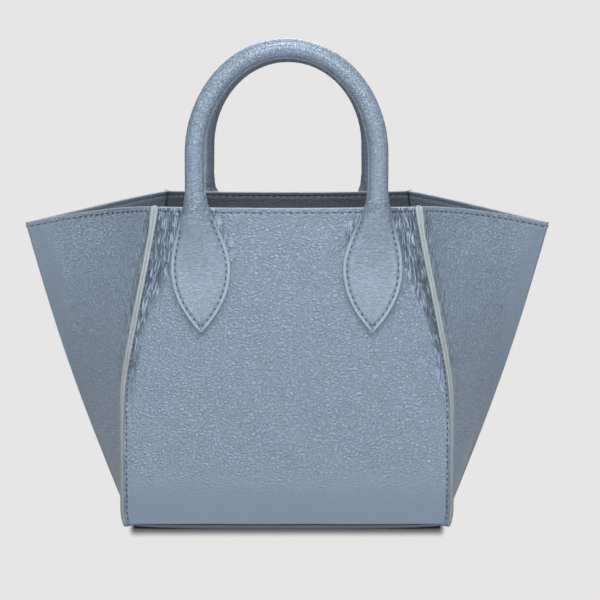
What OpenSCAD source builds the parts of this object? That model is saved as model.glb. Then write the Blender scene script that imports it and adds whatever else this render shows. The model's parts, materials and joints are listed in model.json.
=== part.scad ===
// Trapeze bag: a small leather tote with a narrow mouth, side wings folded along one crease,
// pinched corner seams that stand outward, and two rolled handles on teardrop tabs.
// Millimetres, +Z up, +X to the right, the front faces -Y.
// The origin is the middle of the flat underside that the bag rests on.

/* [Body] */
// Width of the base between the corner seams
base_w = 190; // [150:1:260]
// Depth of the base, front to back
base_d = 116; // [90:1:150]
// Width of the mouth between the corner seams
mouth_w = 154; // [130:1:220]
// Depth of the mouth, front to back
mouth_d = 112; // [90:1:150]
// Height of the rim at the corner seams
body_h = 192.5; // [160:0.5:240]
// Dip of the rim in the middle of the front and the back
rim_dip = 0.8; // [0:0.1:8]
// Outward crown of the front and back walls
wall_crown = 2; // [0:0.5:5]
// Height at which the corner seams start to lean in
bend_z = 77; // [40:1:110]
// How far the foot of a corner seam tucks in
corner_tuck = 3; // [0:0.5:6]
// Height over which the foot of a corner seam tucks in
tuck_h = 12; // [6:1:20]

/* [Wings] */
// Span from wing tip to wing tip
wing_span = 321; // [290:1:380]
// How far a wing tip hangs below the corner seams
tip_drop = 14.5; // [4:0.5:30]
// Share by which a wing is pinched flat beside its crease
wing_pinch = 0.65; // [0:0.05:0.7]
// Distance of the crease's foot outside the foot of the corner seams
crease_out = 7.5; // [2:0.5:12]
// How far the crease bows out between its foot and its tip
crease_bow = 3.3; // [0:0.1:6]

/* [Leather and lining] */
// Thickness of the outer leather
leather_t = 1.6; // [1:0.1:2.4]
// Thickness of the lining and the facing
lining_t = 1; // [0.6:0.1:1.6]
// Height of the leather facing inside the rim
facing_h = 34; // [20:1:50]
// Glue line between two layers
glue = 0.1; // [0.05:0.05:0.3]
// Width of the seam allowance that stands out at the corners
fin_w = 3.4; // [2:0.1:6]
// Angle of the seam allowance at the foot, from the plane of the front
fin_low = 20; // [0:1:45]
// Angle of the seam allowance at the rim, from the plane of the front
fin_high = 86; // [60:1:90]
// Rise of the seam allowance above the rim
fin_rise = 2; // [0:0.1:4]
// Thickness of the painted edge on the seam allowance
edge_t = 0.9; // [0.4:0.1:1.6]

/* [Base] */
// Thickness of the base leather
base_t = 2.4; // [1.6:0.1:4]
// Thickness of the stiffening board
board_t = 2; // [1:0.1:4]
// Corner radius of the base
base_r = 6; // [2:0.5:15]

/* [Handles] */
// Diameter of a rolled handle
handle_dia = 11.4; // [8:0.1:15]
// Distance between the two legs of a handle, centre to centre
handle_span = 107; // [80:1:130]
// Height of a handle's crown above its flex line, at the centre of the roll
handle_rise = 86; // [75:1:160]
// Straight length of a leg above the flex line
leg_len = 24; // [5:1:26]
// Height of the flex line above the rim
flex_up = 7; // [6.5:0.5:12]
// Lean of the back handle away from the bag, as it rests
back_lean = 22; // [0:1:35]
// Swing of a handle towards the mouth, from upright
swing_in = 40; // [10:1:40]
// Swing of a handle away from the bag, from upright
swing_out = 45; // [40:1:50]
// Thickness of the leather rolled round the core
cover_t = 1.4; // [1:0.1:2]
// Running clearance at the flex line
flex_gap = 0.35; // [0.3:0.05:0.6]

/* [Handle tabs] */
// Greatest width of a tab
tab_w = 35.3; // [26:0.1:42]
// Length of a tab from the rim to its point
tab_len = 74; // [60:1:100]
// Length of the tab's pointed part, from the point to the widest place
tab_point = 39; // [25:1:50]
// Thickness of a tab at its edge
tab_edge = 3; // [2.4:0.1:4]
// How much nearer the bag's middle a tab's point is than its handle leg
tab_lean = 3; // [0:0.5:8]

/* [Pocket] */
// Width of the slip pocket
pocket_w = 100; // [60:1:120]
// Height of the slip pocket
pocket_h = 80; // [50:1:100]
// Thickness of the slip pocket's cloth
pocket_t = 0.8; // [0.5:0.1:1.2]
// Distance of the slip pocket's top below the facing
pocket_drop = 6; // [2:1:20]

/* [Hidden] */
CORNERS = ["front_left", "front_right", "back_left", "back_right"];

// Colours of the pieces
LEATHER = [0.50, 0.59, 0.70];
TAB_LEATHER = [0.46, 0.55, 0.67];
INSIDE = [0.24, 0.29, 0.37];
EDGE_PAINT = [0.72, 0.76, 0.77];
STIFFENER = [0.72, 0.66, 0.55];
FOAM = [0.85, 0.84, 0.80];

// Columns across a wall, columns along half a gusset, and rows up a wall
WALL_COLS = 10;
WING_COLS = 7;
TUCK_ROWS = 3;
WALL_ROWS = 10;
POCKET_COLS = 6;
POCKET_ROWS = 4;
// Points round half of a tab, and rings along it
TAB_HALF = 8;
TAB_RINGS = 12;
FILLER_RINGS = 6;

foot_z = base_t + 3 * glue;
tip_z = body_h - tip_drop;
// The crease stays sharp: its outside grows by no more than this many thicknesses
CREASE_CAP = 1.4;
tip_x = wing_span / 2 - CREASE_CAP * leather_t;
flex_z = body_h + flex_up;
handle_r = handle_dia / 2;
flex_y = mouth_d / 2 + leather_t + flex_gap + handle_r;
half_span = handle_span / 2;
// The corner seams are still leaning in at the rim: their bend would end this many times as far up
BEND_SPREAD = 1.22;
bend_reach = BEND_SPREAD * (body_h - bend_z);
// Shares of the height between which the seam allowance turns outward
SPAN_OF_FIN = [0.25, 0.66];
// Height over which the seam allowance climbs above the rim
LIFT_RUN = 12;
// Share of its full width that the painted edge keeps on its round outside
EDGE_CROWN = 0.75;
// The rim of a wing drops the more the nearer it is to the tip
WING_DROOP = 1.3;

function lerp(a, b, t) = a + (b - a) * t;
function clamp01(t) = max(0, min(1, t));
function ease(t) = let (c = clamp01(t)) c * c * (3 - 2 * c);
function flip(p) = [-p.x, p.y, p.z];
function reversed(list) = [for (i = [len(list) - 1:-1:0]) list[i]];
function unit(v) = v / norm(v);
// Offset, for a wall of thickness 1, at a corner between walls with these outward normals
function mitre(a, b) = (a + b) / (1 + a * b);

// The corner seam: its half width, half depth, and the way its allowance points
function lean_in(z) = ease((z - bend_z) / bend_reach) / ease((body_h - bend_z) / bend_reach);
function tuck_in(z) = corner_tuck * pow(1 - clamp01(z / tuck_h), 2);
function seam_x(z) = lerp(base_w, mouth_w, lean_in(z)) / 2 - tuck_in(z);
function seam_y(z) = lerp(base_d, mouth_d, z / body_h) / 2;
function fin_turn(z) = ease((z / body_h - SPAN_OF_FIN[0]) / (SPAN_OF_FIN[1] - SPAN_OF_FIN[0]));
function fin_angle(z) = lerp(fin_low, fin_high, fin_turn(z));
function fin_dir(z) = let (a = fin_angle(z)) [cos(a), -sin(a)];
function seam(z) = [seam_x(z), -seam_y(z)];
function fin_lift(z) = fin_rise * ease((z - body_h + LIFT_RUN) / LIFT_RUN);

// Height of a row: v is 0 at the foot and 1 at the rim
function row_z(v, drop) = lerp(foot_z, body_h - drop, v);
// Rows from one height share to another, with short rows where the foot tucks in
function even_rows(v0, v1, n) = [for (i = [0:n]) lerp(v0, v1, i / n)];
tuck_v = tuck_h / body_h;
wall_rows = concat(even_rows(0, tuck_v, TUCK_ROWS), [for (i = [1:WALL_ROWS]) lerp(tuck_v, 1, i / WALL_ROWS)]);
facing_v = 1 - facing_h / body_h;
// The inner layers share the rows of the leather that they are glued to
function rows_between(low, high) = concat([low], [for (v = wall_rows) if (v > low && v < high) v], [high]);
facing_rows = rows_between(facing_v, 1);
lining_rows = concat([0], rows_between(tuck_v, facing_v - glue / body_h));

// The front wall. u runs from -1 to 1 between the corner seams, c is the distance outward
function wall_out(u, z) = seam_y(z) + wall_crown * (1 - u * u) * sin(180 * clamp01(z / body_h));
function wall_point(u, v, c) =
    let (z = row_z(v, rim_dip * (1 - u * u) * v * v * v))
    [u * seam_x(z), -wall_out(u, z) - c, z];
function wall_us() = [for (i = [1:WALL_COLS - 1]) 2 * i / WALL_COLS - 1];
// End of the front wall with its seam allowance, on the right
function wall_fin(v, c) =
    let (z = row_z(v, 0), d = fin_dir(z), n = [d.y, -d.x], root = seam(z) + c * mitre([0, -1], n))
    [[root.x, root.y, z], for (p = [seam(z) + fin_w * d + c * n]) [p.x, p.y, z + fin_lift(z)]];
function wall_leather(c) = [for (v = wall_rows)
    let (fin = wall_fin(v, c))
    concat([flip(fin[1]), flip(fin[0])], [for (u = wall_us()) wall_point(u, v, c)], [fin[0], fin[1]])];

// The right gusset. t runs from 0 at the front seam to 1 at the crease
function crease_x(z) = let (up = (z - foot_z) / (tip_z - foot_z))
    lerp(seam_x(foot_z) + crease_out, tip_x, up) + crease_bow * sin(180 * up);
function pinch(v) = wing_pinch * ease(v);
function wing_frame(v) = [seam(row_z(v, 0)), crease_x(row_z(v, tip_drop))];
function wing_flesh(f, a, t) = [lerp(f[0].x, f[1], t), f[0].y * (1 - t) * (1 - a * t)];
function wing_along(f, a, t) = unit([f[1] - f[0].x, -f[0].y * (1 + a - 2 * a * t)]);
function wing_normal(f, a, t) = let (w = wing_along(f, a, t)) [w.y, -w.x];
function wing_z(v, t) = row_z(v, tip_drop * pow(t, WING_DROOP));
function wing_point(v, t, c) =
    let (f = wing_frame(v), a = pinch(v), p = wing_flesh(f, a, t) + c * wing_normal(f, a, t))
    [p.x, p.y, wing_z(v, t)];
function crease_point(v, c) =
    let (f = wing_frame(v), reach = 1 / wing_normal(f, pinch(v), 1).x)
    [f[1] + c * (c > 0 ? min(reach, CREASE_CAP) : reach), 0, wing_z(v, 1)];
function wing_fin(v, c) =
    let (z = row_z(v, 0), d = fin_dir(z), n = [-d.y, d.x],
         g = wing_normal(wing_frame(v), pinch(v), 0), root = seam(z) + c * mitre(g, n))
    [for (p = [seam(z) + fin_w * d + c * n]) [p.x, p.y, z + fin_lift(z)], [root.x, root.y, z]];
function wing_ts() = [for (i = [1:WING_COLS - 1]) i / WING_COLS];
function mirror_y(list) = [for (p = reversed(list)) [p.x, -p.y, p.z]];
function gusset_row(start, v, c) =
    let (half = concat(start, [for (t = wing_ts()) wing_point(v, t, c)]))
    concat(half, [crease_point(v, c)], mirror_y(half));
function gusset_leather(c) = [for (v = wall_rows) gusset_row(wing_fin(v, c), v, c)];

// Inner layers stop at the corner seam along its mitre
function inner_corner(v, c) =
    let (z = row_z(v, 0), p = seam(z) + c * mitre([0, -1], wing_normal(wing_frame(v), pinch(v), 0)))
    [p.x, p.y, z];
function wall_layer(rows, c) = [for (v = rows)
    let (end = inner_corner(v, c) - [glue, 0, 0])
    concat([flip(end)], [for (u = wall_us()) wall_point(u, v, c)], [end])];
function gusset_layer(rows, c) = [for (v = rows)
    let (w = glue * wing_along(wing_frame(v), pinch(v), 0), end = inner_corner(v, c) + [w.x, w.y, 0])
    gusset_row([end], v, c)];

// A closed sheet between two grids of points with as many rows and columns
module thick_sheet(outer, inner) {
    rows = len(outer);
    cols = len(outer[0]);
    end = cols - 1;
    count = rows * cols;
    function id(side, r, c) = side * count + r * cols + c;
    function quad(a, b, c, d, left = false) = left ? [[a, b, d], [b, c, d]] : [[a, b, c], [a, c, d]];
    // The diagonals of the two halves mirror each other, so that sheets sewn together match
    faces = [
        for (r = [0:rows - 2], c = [0:cols - 2], left = [c < end / 2], f = concat(
            quad(id(0, r, c), id(0, r + 1, c), id(0, r + 1, c + 1), id(0, r, c + 1), left),
            quad(id(1, r, c), id(1, r, c + 1), id(1, r + 1, c + 1), id(1, r + 1, c), left))) f,
        for (r = [0:rows - 2], f = concat(
            quad(id(0, r, 0), id(1, r, 0), id(1, r + 1, 0), id(0, r + 1, 0), true),
            quad(id(0, r, end), id(0, r + 1, end), id(1, r + 1, end), id(1, r, end), true))) f,
        for (c = [0:cols - 2], f = concat(
            quad(id(0, 0, c), id(0, 0, c + 1), id(1, 0, c + 1), id(1, 0, c)),
            quad(id(0, rows - 1, c), id(1, rows - 1, c), id(1, rows - 1, c + 1), id(0, rows - 1, c + 1)))) f];
    points = [for (grid = [outer, inner], row = grid, p = row) p];
    polyhedron(points = points, faces = faces);
}

// A closed solid through rings of points, and the same with a cavity through a second set of rings
function ring_sides(start, rings, n, out) = [
    for (r = [0:rings - 2], i = [0:n - 1])
        let (a = start + r * n + i, b = start + r * n + (i + 1) % n, c = a + n, d = b + n)
        each (out ? [[a, c, d], [a, d, b]] : [[a, d, c], [a, b, d]])];
function fan(start, n, up) = [for (i = [1:n - 2])
    up ? [start, start + i + 1, start + i] : [start, start + i, start + i + 1]];
function collar(a, b, n) = [for (i = [0:n - 1])
    let (j = (i + 1) % n) each [[a + i, b + i, b + j], [a + i, b + j, a + j]]];
module loft(rings) {
    n = len(rings[0]);
    top = (len(rings) - 1) * n;
    polyhedron(points = [for (ring = rings, p = ring) p],
               faces = concat(ring_sides(0, len(rings), n, true), fan(0, n, false), fan(top, n, true)));
}
module hollow_loft(rings, inside) {
    n = len(rings[0]);
    count = len(rings) * n;
    top = count - n;
    inner_top = count + (len(inside) - 1) * n;
    polyhedron(points = [for (set = [rings, inside], ring = set, p = ring) p],
               faces = concat(ring_sides(0, len(rings), n, true), fan(0, n, false),
                              ring_sides(count, len(inside), n, false), fan(count, n, true),
                              collar(top, inner_top, n)));
}

module at_back() { mirror([0, 1, 0]) children(); }
module at_left() { mirror([1, 0, 0]) children(); }
// Places a front right piece at a named corner
module at_corner(corner) {
    turn_x = (corner == "front_left" || corner == "back_left") ? 1 : 0;
    turn_y = (corner == "back_left" || corner == "back_right") ? 1 : 0;
    mirror([turn_x, 0, 0]) mirror([0, turn_y, 0]) children();
}

// Outer leather
module wall_panel() { thick_sheet(wall_leather(leather_t), wall_leather(glue)); }
module front_panel() { color(LEATHER) wall_panel(); }
module back_panel() { color(LEATHER) at_back() wall_panel(); }
module right_gusset() {
    color(LEATHER) thick_sheet(gusset_leather(leather_t), gusset_leather(glue));
}
module left_gusset() { at_left() right_gusset(); }

// The painted edge that caps the two layers of a corner seam
function edge_row(v, reach) =
    let (z = row_z(v, 0), d = fin_dir(z), n = [-d.y, d.x], tip = seam(z) + (fin_w + reach) * d)
    [for (side = [-1, 0, 1]) let (p = tip + side * leather_t * (reach > glue ? EDGE_CROWN : 1) * n)
        [p.x, p.y, z + fin_lift(z)]];
function edge_grid(reach) = [for (v = wall_rows) edge_row(v, reach)];
module seam_edge(corner) {
    color(EDGE_PAINT) at_corner(corner) thick_sheet(edge_grid(glue + edge_t), edge_grid(glue));
}

// Facing and lining
function layer_out() = -glue;
function layer_in() = -glue - lining_t;
module wall_inside(rows) { thick_sheet(wall_layer(rows, layer_out()), wall_layer(rows, layer_in())); }
module gusset_inside(rows) { thick_sheet(gusset_layer(rows, layer_out()), gusset_layer(rows, layer_in())); }
module front_facing() { color(INSIDE) wall_inside(facing_rows); }
module back_facing() { at_back() front_facing(); }
module right_facing() { color(INSIDE) gusset_inside(facing_rows); }
module left_facing() { at_left() right_facing(); }
module front_lining() { color(INSIDE) wall_inside(lining_rows); }
module back_lining() { at_back() front_lining(); }
module right_lining() { color(INSIDE) gusset_inside(lining_rows); }
module left_lining() { at_left() right_lining(); }

// Slip pocket on the back lining
pocket_top = body_h - facing_h - pocket_drop;
pocket_rows = even_rows((pocket_top - pocket_h) / body_h, pocket_top / body_h, POCKET_ROWS);
function pocket_grid(c) = [for (v = pocket_rows) [for (i = [0:POCKET_COLS])
    wall_point((2 * i / POCKET_COLS - 1) * pocket_w / 2 / seam_x(pocket_top), v, c)]];
module slip_pocket() {
    color(INSIDE) at_back()
        thick_sheet(pocket_grid(layer_in() - glue), pocket_grid(layer_in() - glue - pocket_t));
}

// Base: leather outside, a board on it, lining on top
module rounded_plate(half_x, half_y, r, low, thick) {
    translate([0, 0, low]) linear_extrude(thick) {
        square([2 * half_x, 2 * (half_y - r)], center = true);
        square([2 * (half_x - r), 2 * half_y], center = true);
        for (sx = [-1, 1], sy = [-1, 1])
            translate([sx * (half_x - r), sy * (half_y - r)]) circle(r, $fn = 32);
    }
}
inner_half_x = seam_x(foot_z) - lining_t - 3 * glue;
inner_half_y = seam_y(foot_z) - lining_t - 3 * glue;
module base_panel() {
    color(LEATHER)
        rounded_plate(seam_x(foot_z) + leather_t, seam_y(foot_z) + leather_t, base_r, 0, base_t);
}
module base_board() {
    color(STIFFENER) rounded_plate(inner_half_x, inner_half_y, base_r, base_t + glue, board_t);
}
module base_lining() {
    color(INSIDE)
        rounded_plate(inner_half_x, inner_half_y, base_r, base_t + board_t + 2 * glue, lining_t);
}

// Handle tab: a teardrop that lies on the wall and gathers into the round neck of the handle
tab_tip_z = body_h - tab_len;
wide_z = tab_tip_z + tab_point;
filler_z = wide_z - 4;
// How full the sides of the pointed part are (1 is straight), and how blunt its point is
TAB_FULLNESS = 2.15;
TAB_BLUNT = 0.03;
// Shares of the way from the widest place to the flex line between which a tab becomes round
NECK = [0.35, 0.9];
// The face of a tab starts to swell this far below its widest place, up to a roll less this much
SWELL_LEAD = 8;
SWELL_SINK = 1;
// Angle at which a tab's face turns into its side
TAB_SIDE = 8;
// The sides of a tab still draw together at the flex line, and would be a roll apart this far above it
NECK_OVER = 6;
// How much closer the rings are towards the point
RING_CROWD = 1.25;
function tab_half(z) = z < wide_z
    ? tab_w / 2 * max(TAB_BLUNT, 1 - pow(1 - (z - tab_tip_z) / tab_point, TAB_FULLNESS))
    : lerp(tab_w / 2, handle_r, up_neck(z));
function neck_part(z, start = wide_z) = (z - start) / (flex_z - wide_z);
function up_neck(z) = ease((z - wide_z) / (flex_z + NECK_OVER - wide_z));
function neck_share(z) = ease((neck_part(z) - NECK[0]) / (NECK[1] - NECK[0]));
function tab_mid(z) = lerp(half_span - tab_lean, half_span, up_neck(z));
function tab_rise(z) = lerp(tab_edge, handle_dia - SWELL_SINK, ease(neck_part(z, wide_z - SWELL_LEAD)));
function face_y(x, z) = -wall_out(x / seam_x(z), min(z, body_h)) - leather_t - glue;
// One point of a tab's ring: the flat-backed teardrop blends into the circle of the neck
function tab_point_at(z, angle, inset) =
    let (w = tab_half(z) - inset, q = cos(angle) / cos(TAB_SIDE), x = tab_mid(z) + w * q,
         depth = angle < 180
            ? lerp(tab_edge, tab_rise(z), 1 - q * q) - inset
            : inset,
         flat = [x, face_y(x, z) - depth],
         round = [tab_mid(z) + w * cos(angle), -flex_y - (handle_r - inset) * sin(angle)],
         p = lerp(flat, round, neck_share(z)))
    [p.x, p.y, z];
function tab_ring(z, inset) = [for (start = [0, 180], i = [0:TAB_HALF])
    tab_point_at(z, start + lerp(TAB_SIDE, 180 - TAB_SIDE, i / TAB_HALF), inset)];
function ring_heights(low, high, n, crowd) = [for (i = [0:n]) lerp(low, high, pow(i / n, crowd))];
function tab_rings() = [for (z = ring_heights(tab_tip_z, flex_z, TAB_RINGS, RING_CROWD)) tab_ring(z, 0)];
function tab_inside(inset, low) =
    [for (z = ring_heights(low, flex_z, FILLER_RINGS, 1)) tab_ring(z, inset)];
// Room for the round end of the handle and for its whole swing
module swing_room() {
    reach = 3 * handle_dia;
    translate([handle_span / 2, -flex_y, flex_z]) rotate([90, 0, 90]) {
        cylinder(h = reach, r = handle_r + flex_gap, center = true, $fn = 48);
        translate([0, -flex_gap, 0]) linear_extrude(reach, center = true)
            polygon([[0, 0], reach * [-cos(swing_out), -sin(swing_out)], [-reach, reach],
                     [reach, reach], reach * [cos(swing_in), -sin(swing_in)]]);
    }
}
module handle_tab(corner) {
    color(TAB_LEATHER) at_corner(corner) difference() {
        hollow_loft(tab_rings(), tab_inside(cover_t, filler_z));
        swing_room();
    }
}
module tab_filler(corner) {
    color(FOAM) at_corner(corner) difference() {
        loft(tab_inside(cover_t + glue, filler_z + glue));
        swing_room();
    }
}

// Rolled handle: two straight legs and a half ellipse over them, swept by a round section
arch_rise = handle_rise - leg_len;
// The cover starts inside the knuckle, and the core above it
COVER_START = 1;
CORE_START = 3;
ROLL_SIDES = 12;
ARCH_STEPS = 24;
// Half the angle between the edges of the rolled leather
SEAM_GAP = 1;
// The knuckle is this much fuller than the roll
KNUCKLE_FULL = 0.03;
// A centre line point with its outward direction, both in the plane of the handle
function leg_end(side, low) = [[side * half_span, low], [side, 0]];
function arch_at(a) = [[half_span * cos(a), leg_len + arch_rise * sin(a)],
                       unit([arch_rise * cos(a), half_span * sin(a)])];
function centre_line(low) = concat(
    [leg_end(1, low)], [for (i = [0:ARCH_STEPS]) arch_at(180 * i / ARCH_STEPS)], [leg_end(-1, low)]);
function roll_point(at, r, a) = let (p = at[0] + r * cos(a) * at[1]) [p.x, r * sin(a), p.y];
// The leather's two edges meet along a seam that faces the mouth of the bag
function cover_sheet(r) = [for (at = centre_line(COVER_START)) [for (k = [0:ROLL_SIDES])
    roll_point(at, r, 90 + lerp(SEAM_GAP, 360 - SEAM_GAP, k / ROLL_SIDES))]];
function core_rings(r) = [for (at = centre_line(CORE_START + glue)) [for (k = [0:ROLL_SIDES - 1])
    roll_point(at, r, -360 * k / ROLL_SIDES)]];
// The leather closes round the core at each end, in a knuckle that turns in the tab's neck
module knuckle() {
    translate([half_span, 0, 0]) {
        cylinder(h = CORE_START, r = handle_r, $fn = 32);
        intersection() {
            translate([0, 0, -handle_r]) cylinder(h = handle_r, r = handle_r, $fn = 32);
            rotate([0, 90, 0]) cylinder(h = 2 * handle_dia, r = handle_r, center = true, $fn = 48);
        }
    }
}
module handle_cover() {
    thick_sheet(cover_sheet(handle_r - KNUCKLE_FULL), cover_sheet(handle_r - cover_t));
    knuckle();
    at_left() knuckle();
}
module handle_core() { loft(core_rings(handle_r - cover_t - glue)); }
module at_front_flex() { translate([0, -flex_y, flex_z]) children(); }
module at_back_flex() { translate([0, flex_y, flex_z]) rotate([-back_lean, 0, 0]) children(); }
module front_handle() { color(TAB_LEATHER) at_front_flex() handle_cover(); }
module front_handle_core() { color(FOAM) at_front_flex() handle_core(); }
module back_handle() { color(TAB_LEATHER) at_back_flex() handle_cover(); }
module back_handle_core() { color(FOAM) at_back_flex() handle_core(); }

front_panel();
back_panel();
left_gusset();
right_gusset();
base_panel();
base_board();
front_facing();
back_facing();
left_facing();
right_facing();
front_lining();
back_lining();
left_lining();
right_lining();
base_lining();
slip_pocket();
seam_edge("front_left");  // front_left_seam_edge
seam_edge("front_right");  // front_right_seam_edge
seam_edge("back_left");  // back_left_seam_edge
seam_edge("back_right");  // back_right_seam_edge
handle_tab("front_left");  // front_left_handle_tab
handle_tab("front_right");  // front_right_handle_tab
handle_tab("back_left");  // back_left_handle_tab
handle_tab("back_right");  // back_right_handle_tab
tab_filler("front_left");  // front_left_tab_filler
tab_filler("front_right");  // front_right_tab_filler
tab_filler("back_left");  // back_left_tab_filler
tab_filler("back_right");  // back_right_tab_filler
front_handle();
front_handle_core();
back_handle();
back_handle_core();
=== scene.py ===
# %% [markdown]
# # A small trapeze bag in grained leather
# The bag has two walls, two gussets that fold out into wings, a base and two rolled handles.
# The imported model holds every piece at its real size. This script dresses it: each soft piece is
# cut as a flat sheet, formed over the same curves, and given its folds, seams and finish.

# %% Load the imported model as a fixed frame
import json
import math

import bmesh
import bpy
from mathutils import Matrix, Vector, noise


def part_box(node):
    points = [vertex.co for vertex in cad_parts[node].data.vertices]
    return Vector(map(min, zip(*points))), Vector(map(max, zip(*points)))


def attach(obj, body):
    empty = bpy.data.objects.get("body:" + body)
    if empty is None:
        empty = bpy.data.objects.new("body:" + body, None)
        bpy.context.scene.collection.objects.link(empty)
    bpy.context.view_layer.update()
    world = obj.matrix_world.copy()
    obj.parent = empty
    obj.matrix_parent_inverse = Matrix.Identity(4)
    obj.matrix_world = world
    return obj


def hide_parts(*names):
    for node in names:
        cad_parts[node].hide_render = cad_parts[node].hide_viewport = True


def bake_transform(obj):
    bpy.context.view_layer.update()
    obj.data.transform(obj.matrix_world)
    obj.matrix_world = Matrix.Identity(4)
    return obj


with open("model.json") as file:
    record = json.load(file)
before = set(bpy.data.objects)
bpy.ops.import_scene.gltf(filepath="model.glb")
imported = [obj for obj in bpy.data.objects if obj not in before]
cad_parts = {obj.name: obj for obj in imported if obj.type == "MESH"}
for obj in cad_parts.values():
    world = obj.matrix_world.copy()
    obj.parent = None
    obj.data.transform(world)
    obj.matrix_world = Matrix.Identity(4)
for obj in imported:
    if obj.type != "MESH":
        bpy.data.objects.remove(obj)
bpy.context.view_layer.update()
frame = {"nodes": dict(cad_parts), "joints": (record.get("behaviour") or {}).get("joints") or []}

MM = 0.001

# %% [markdown]
# ## Camera, light and floor
# A product photograph of this kind uses a long lens a little above the rim, a large soft light
# overhead and in front, and a seamless pale floor. The floor fades into the background colour for
# camera rays only, so that the bag stands on a plain page and keeps its shadow.

# %% Camera
scene = bpy.context.scene
CAMERA_PLACE = Vector((7.8, -1310, 307.2)) * MM
CAMERA_DOWN = 7.7
SENSOR = 36
LENS_PER_WIDTH = 2145 / 600
NEAR_CLIP = 0.05

camera = bpy.data.objects.new("camera", bpy.data.cameras.new("camera"))
camera.location = CAMERA_PLACE
camera.rotation_euler = (math.radians(90 - CAMERA_DOWN), 0, 0)
camera.data.sensor_width = SENSOR
camera.data.lens = LENS_PER_WIDTH * SENSOR
camera.data.clip_start = NEAR_CLIP
scene.collection.objects.link(camera)
scene.camera = camera
scene.view_settings.view_transform = "Standard"
print(f"camera: a lens of {camera.data.lens:.1f} mm on a sensor of {SENSOR} mm")

# %% Soft lights
def soft_light(name, place, aim, size, power):
    light = bpy.data.lights.new(name, "AREA")
    light.shape = "RECTANGLE"
    light.size, light.size_y = size
    light.energy = power
    lamp = bpy.data.objects.new(name, light)
    lamp.location = place
    lamp.rotation_euler = (Vector(aim) - Vector(place)).to_track_quat("-Z", "Y").to_euler()
    scene.collection.objects.link(lamp)


SIDE_POWER = 2.6
soft_light("overhead", (0.02, -0.42, 0.86), (0, 0, 0.15), (0.5, 0.3), 5.2)
soft_light("front_fill", (0.05, -1.9, 0.8), (0, 0, 0.14), (0.7, 0.9), 21.5)
soft_light("left_fill", (-1.3, -1.1, 0.6), (0, 0, 0.12), (0.7, 0.7), SIDE_POWER)
soft_light("right_fill", (1.3, -1.1, 0.6), (0, 0, 0.12), (0.7, 0.7), SIDE_POWER)
soft_light("back_fill", (0.1, 1.2, 1.15), (0, 0, 0.12), (1.0, 0.6), 12)

# %% [markdown]
# ## Building materials
# Every material here is a small net of nodes. A few helpers keep the nets short to write: each
# one adds a node, plugs in what it is given, a value or another node's output, and hands back
# the output that the next node needs.

# %% A new material and its nodes
def new_material(name):
    material = bpy.data.materials.new(name)
    material.use_nodes = True
    return material, material.node_tree, material.node_tree.nodes["Principled BSDF"]


def plug(tree, socket, value):
    if isinstance(value, bpy.types.NodeSocket):
        tree.links.new(value, socket)
    else:
        socket.default_value = value


def add_node(tree, kind, output, settings=None, **inputs):
    node = tree.nodes.new("ShaderNode" + kind)
    for key, value in (settings or {}).items():
        setattr(node, key, value)
    for key, value in inputs.items():
        plug(tree, node.inputs[key.replace("_", " ")], value)
    return node.outputs[output]


# %% Nodes that work out a value
def calc(tree, operation, *values):
    node = tree.nodes.new("ShaderNodeMath")
    node.operation = operation
    for socket, value in zip(node.inputs, values):
        plug(tree, socket, value)
    return node.outputs[0]


def vector_calc(tree, operation, *vectors):
    node = tree.nodes.new("ShaderNodeVectorMath")
    node.operation = operation
    for socket, value in zip(node.inputs, vectors):
        plug(tree, socket, value)
    return node.outputs["Value" if operation == "LENGTH" else "Vector"]


def stretch(tree, vector, scale):
    return vector_calc(tree, "MULTIPLY", vector, scale)


def ramp(tree, value, low, high, to_low=0.0, to_high=1.0):
    return add_node(tree, "MapRange", "Result", {"interpolation_type": "SMOOTHSTEP"}, Value=value,
                    From_Min=low, From_Max=high, To_Min=to_low, To_Max=to_high)


# %% Nodes that mix
def mix_colour(tree, factor, a, b):
    node = tree.nodes.new("ShaderNodeMix")
    node.data_type = "RGBA"
    plug(tree, node.inputs[0], factor)
    plug(tree, node.inputs[6], a)
    plug(tree, node.inputs[7], b)
    return node.outputs[2]


def mix_value(tree, factor, a, b):
    return add_node(tree, "Mix", "Result", {"data_type": "FLOAT"}, Factor=factor, A=a, B=b)


def mix_shaders(tree, share, a, b):
    node = tree.nodes.new("ShaderNodeMixShader")
    for socket, value in zip(node.inputs, (share, a, b)):
        plug(tree, socket, value)
    return node.outputs[0]


# %% Background
PAGE = (0.799, 0.787, 0.787, 1)
AMBIENT = 0.15

world = bpy.data.worlds.new("studio")
world.use_nodes = True
scene.world = world
sky = world.node_tree
room = sky.nodes["Background"]
room.inputs["Color"].default_value = (1, 1, 1, 1)
room.inputs["Strength"].default_value = AMBIENT
page = add_node(sky, "Background", "Background", Color=PAGE)
camera_ray = add_node(sky, "LightPath", "Is Camera Ray")
seen = mix_shaders(sky, camera_ray, room.outputs["Background"], page)
plug(sky, sky.nodes["World Output"].inputs["Surface"], seen)

# %% [markdown]
# ## The floor
# The floor bounces light like pale paper. For camera rays it is darker, so that the shadow under
# the bag is deep, and it fades into the page within a few centimetres of the sole. The distance
# from the sole is measured in the floor's own coordinates, with the two ends brought in faster.

# %% Floor with a contact shadow
FLOOR_HALF = 4.0
FLOOR_TONE, NEAR_TONE = (0.72, 0.72, 0.72, 1), (0.14, 0.14, 0.15, 1)
SOLE_HALF = (0.09, 0.055, 0)
ENDS_FASTER = (5, 1, 0)
FADE_FROM, FADE_TO = 0.006, 0.027

bm = bmesh.new()
bmesh.ops.create_grid(bm, x_segments=8, y_segments=8, size=FLOOR_HALF)
floor_mesh = bpy.data.meshes.new("floor")
bm.to_mesh(floor_mesh)
bm.free()
floor = bpy.data.objects.new("floor", floor_mesh)
scene.collection.objects.link(floor)

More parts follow.
